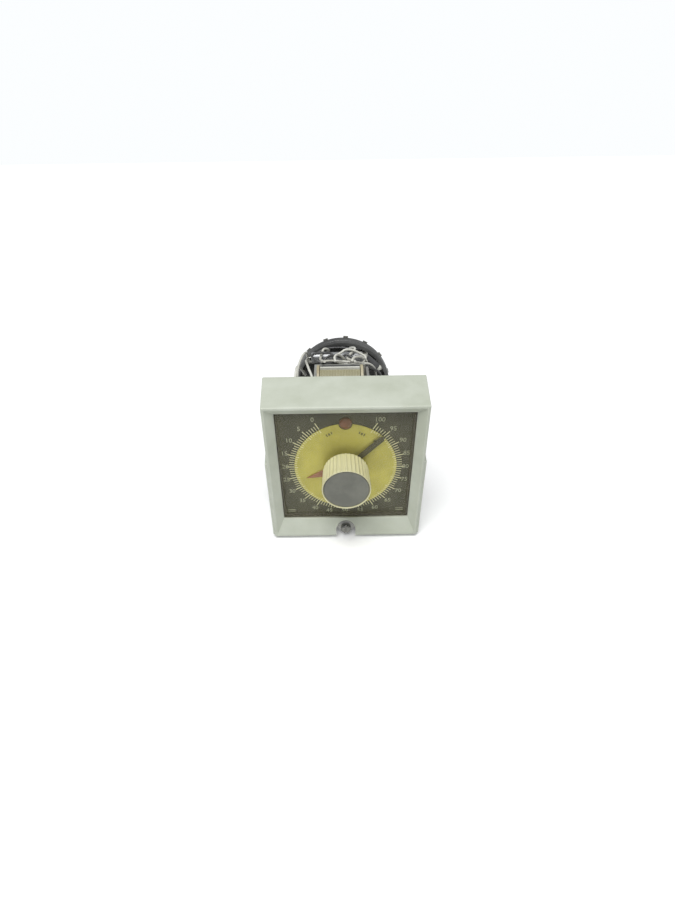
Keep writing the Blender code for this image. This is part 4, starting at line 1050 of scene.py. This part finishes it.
@dataclass
class Wiring:
    """Hook-up wires from the plug's tabs, with bare ends, and the components' leads."""

    plug: Plug
    radius: float = 0.75
    bare_radius: float = 0.34
    coil_top: tuple[float, float] = (61.0, 39.3)
    routes: dict[str, tuple[int, list[Triple]]] = field(default_factory=lambda: {
        "wire_coil_a": (5, [(-9, 91.5, 33.4), (-12, 86, 36.2), (-14, 78, 33.5), (-12.5, 70, 35.6)]),
        "wire_coil_b": (6, [(5.5, 92, 34.4), (8, 86, 36.2), (3, 78, 34), (5.5, 70, 35.8)]),
        "wire_motor": (3, [(-25.5, 89, 18.5), (-27.5, 81, 26), (-29, 72.5, 29.4), (-29.8, 64, 20),
                           (-26, 56, -2), (-20.5, 51.4, -12)]),
        "wire_switch": (4, [(-22, 91, 25.5), (-23.5, 85, 29), (-21.5, 74, 29), (-19, 66, 25.5),
                            (-18.8, 52, 21.5), (-8, 44, 16), (6, 36, 15), (15, 31.5, 17)])})

    def run(self, name: str) -> list[Triple]:
        """All the points of a wire, from its tab to its far end."""
        number, points = self.routes[name]
        x, z = self.plug.polar(self.plug.blade_radius - 1.45, number)
        ends = {"wire_coil_a": [(-11.0, *self.coil_top)], "wire_coil_b": [(7.0, *self.coil_top)]}
        return [(x, 99.4, z), (x, 96.0, z), *points, *ends.get(name, [])]

    def wire(self, name: str) -> Piece:
        """One wire: bare for its first two millimetres or so, then insulated."""
        path = smooth_curve(self.run(name), 16)
        along = np.concatenate(([0.0], np.cumsum(np.linalg.norm(np.diff(path, axis=0), axis=1))))
        cover = np.clip((along - 2.0) / 0.25, 0.0, 1.0)
        size = self.bare_radius + (self.radius - self.bare_radius) * cover
        return mesh_piece(name + "_lead", *swept_shape(path, size, 16))

    def component_leads(self) -> Piece:
        """Bare tinned leads from the capacitor and the resistor to their tabs."""
        tab_4, tab_7, tab_8 = (self.plug.polar(self.plug.blade_radius - 1.2, n) for n in (4, 7, 8))
        paths = [
            [(-19.6, 86, 30.7), (-22.0, 86.3, 30.6), (-23.4, 89.5, 28.0), (-21.4, 95.0, 24.6),
             (tab_4[0], 98.6, tab_4[1])],
            [(12.5, 86, 30.7), (15.2, 86.4, 31.4), (16.2, 90.0, 31.6), (14.6, 95.4, 29.6),
             (tab_7[0], 98.6, tab_7[1])],
            [(14.6, 92.6, 28.1), (13.0, 93.0, 29.5), (12.6, 95.6, 29.0), (tab_7[0], 98.8, tab_7[1] - 0.3)],
            [(24.6, 93.2, 18.8), (26.0, 93.8, 17.8), (26.4, 96.0, 18.4), (tab_8[0], 98.6, tab_8[1])]]
        return mesh_piece("component_leads", *self.tubes(paths, 0.36))

    def tubes(self, paths: list[list[Triple]], radius: float) -> Shape:
        """Several wires of one thickness as one shape."""
        return joined([swept_shape(smooth_curve(path), radius, 14) for path in paths])

    def pale_loops(self) -> Piece:
        """Slack loops of pale wire between the coil, the shelf and the plug."""
        paths = [[(-4.5, 61.5, 38.6), (-5.0, 65.0, 40.2), (-3.0, 70.0, 39.6), (0.5, 75.0, 35.0),
                  (2.0, 78.5, 29.5), (2.2, 79.4, 23.0)],
                 [(5.0, 61.5, 38.6), (6.5, 65.0, 39.6), (10.5, 71.0, 37.6), (14.5, 76.5, 33.0),
                  (16.0, 82.0, 26.5), (17.0, 90.0, 17.0), (19.0, 96.5, 8.0)],
                 [(-1.0, 80.5, 36.2), (2.0, 81.8, 37.6), (6.0, 82.2, 37.2), (11.0, 81.6, 35.2),
                  (14.5, 80.0, 33.2), (13.0, 77.0, 31.0), (8.5, 76.0, 30.2), (2.0, 76.4, 30.4),
                  (-4.0, 77.0, 32.0), (-4.6, 79.0, 34.6), (-1.0, 80.5, 36.2)],
                 [(-13.0, 69.5, 35.4), (-9.0, 73.0, 34.2), (-4.0, 74.5, 33.4), (1.0, 73.0, 33.6),
                  (7.0, 71.6, 33.8), (12.0, 73.4, 32.2), (17.2, 76.8, 29.8), (21.0, 81.0, 24.0),
                  (22.4, 88.0, 14.0), (22.0, 95.0, 2.0)],
                 [(-21.6, 98.6, 22.0), (-22.0, 94.5, 23.6), (-22.8, 89.5, 30.0), (-23.0, 84.0, 35.0),
                  (-24.0, 78.5, 36.8), (-25.4, 74.5, 36.0), (-27.0, 71.6, 33.0), (-28.3, 69.2, 27.0),
                  (-28.4, 66.0, 16.0), (-27.5, 60.0, 4.0), (-23.0, 54.0, -6.0), (-18.5, 50.6, -10.0)]]
        return mesh_piece("pale_loops", *self.tubes(paths, 0.72))

    def dark_loops(self) -> Piece:
        """Black wires that cross behind the coil and drop into the plug."""
        paths = [[(-15.0, 70.2, 31.0), (-10.0, 73.0, 36.4), (-5.0, 75.6, 36.6), (-1.5, 77.4, 34.6),
                  (2.5, 77.6, 36.0), (5.5, 76.2, 35.0), (9.0, 75.0, 33.0), (13.0, 74.8, 30.5),
                  (18.0, 76.0, 27.6), (24.0, 80.0, 22.0), (26.0, 88.0, 12.0), (26.2, 95.5, 4.0)],
                 [(-18.0, 80.0, 36.0), (-12.0, 79.2, 37.0), (-7.0, 79.4, 36.0), (-5.6, 76.0, 33.0),
                  (-9.0, 72.6, 32.6), (-14.0, 73.0, 33.4), (-19.0, 76.6, 35.4), (-18.0, 80.0, 36.0)],
                 [(-16.6, 92.0, 31.0), (-12.0, 93.6, 33.0), (-6.0, 94.4, 33.6), (1.0, 93.6, 34.0),
                  (8.0, 92.4, 33.4), (12.0, 91.0, 33.8)]]
        return mesh_piece("dark_loops", *self.tubes(paths, 0.72))

    def build(self, finishes: Finishes) -> None:
        """Build the wires and the leads."""
        for name in self.routes:
            finishes.place(self.wire(name), "chassis", "insulation", INSULATION, name)
        finishes.place(self.component_leads(), "chassis", "bright", TINNED)
        finishes.place(self.pale_loops(), "chassis", "insulation", INSULATION)
        finishes.place(self.dark_loops(), "chassis", "black", DARK_WIRE)


# ---------------------------------------------------------------- the room
@dataclass
class Room:
    """Pale table, soft light and the camera."""

    floor_half: float = 3000.0
    floor_lines: int = 25
    sky_colour: tuple[float, float, float, float] = (0.97, 0.99, 1.0, 1.0)
    sky_light: float = 0.32            # on the object
    sky_seen: float = 1.0              # behind it
    lamp_at: Triple = (-0.08, -0.33, 0.86)
    lamp_aim: Triple = (0.0, 0.0, 0.04)
    lamp_size: float = 0.5
    lamp_power: float = 7.8
    camera_at: Triple = (-0.0047817, -0.2408457, 0.2017998)
    right: Triple = (0.99987308, -0.01102128, -0.01150489)
    down: Triple = (-0.01576677, -0.58074865, -0.81393022)
    forward: Triple = (0.00228911, 0.81400831, -0.58084871)
    lens: float = 18.56

    def floor(self, finishes: Finishes) -> None:
        """A wide flat pale table."""
        across = np.linspace(-self.floor_half, self.floor_half, self.floor_lines)
        x, y = np.meshgrid(across, across)
        grid = np.stack((x, y, np.zeros_like(x)), axis=-1)
        floor = mesh_piece("table", grid.reshape(-1, 3) - PANEL_ORIGIN,
                           grid_faces(self.floor_lines, self.floor_lines, False, False)[:, ::-1], merge=False)
        floor.data.materials.append(finishes.material(Board("table_white", (0.9, 0.905, 0.905))))

    def light(self) -> None:
        """A pale sky, brighter to the eye than to the object, and a broad lamp above and in front."""
        world = bpy.data.worlds.new("pale_room")
        world.use_nodes = True
        nodes, links = world.node_tree.nodes, world.node_tree.links
        sky = nodes["Background"]
        sky.inputs["Color"].default_value = self.sky_colour
        seen = nodes.new("ShaderNodeMapRange")
        seen.inputs["To Min"].default_value = self.sky_light
        seen.inputs["To Max"].default_value = self.sky_seen
        links.new(nodes.new("ShaderNodeLightPath").outputs["Is Camera Ray"], seen.inputs["Value"])
        links.new(seen.outputs["Result"], sky.inputs["Strength"])
        bpy.context.scene.world = world
        lamp = bpy.data.lights.new("softbox", "AREA")
        lamp.size, lamp.energy = self.lamp_size, self.lamp_power
        item = linked("softbox", lamp)
        item.location = self.lamp_at
        item.rotation_euler = (Vector(self.lamp_aim) - item.location).to_track_quat("-Z", "Y").to_euler()

    def camera(self) -> None:
        """The camera, turned by its right, down and forward directions."""
        view = bpy.data.cameras.new("camera")
        view.sensor_width = 36.0
        view.lens = self.lens
        view.clip_start = 0.005
        item = linked("camera", view)
        columns = (Vector(self.right), -Vector(self.down), -Vector(self.forward))
        turn = Matrix([[column[row] for column in columns] for row in range(3)])
        item.matrix_world = Matrix.Translation(self.camera_at) @ turn.to_4x4()
        bpy.context.scene.camera = item

    def build(self, finishes: Finishes) -> None:
        """Set up the table, the light and the camera."""
        self.floor(finishes)
        self.light()
        self.camera()
        bpy.context.scene.view_settings.view_transform = "Standard"


def main() -> None:
    logging.basicConfig(level=logging.INFO, format="%(name)s: %(message)s")
    finishes = Finishes()
    plug = Plug()
    for part in (Housing(), Dial(), SettingKnob(), PilotLamp(), Clockwork(), ClutchCoil(), plug,
                 Wiring(plug), Room()):
        part.build(finishes)
        log.info("%s done", type(part).__name__)


if __name__ == "__main__":
    main()
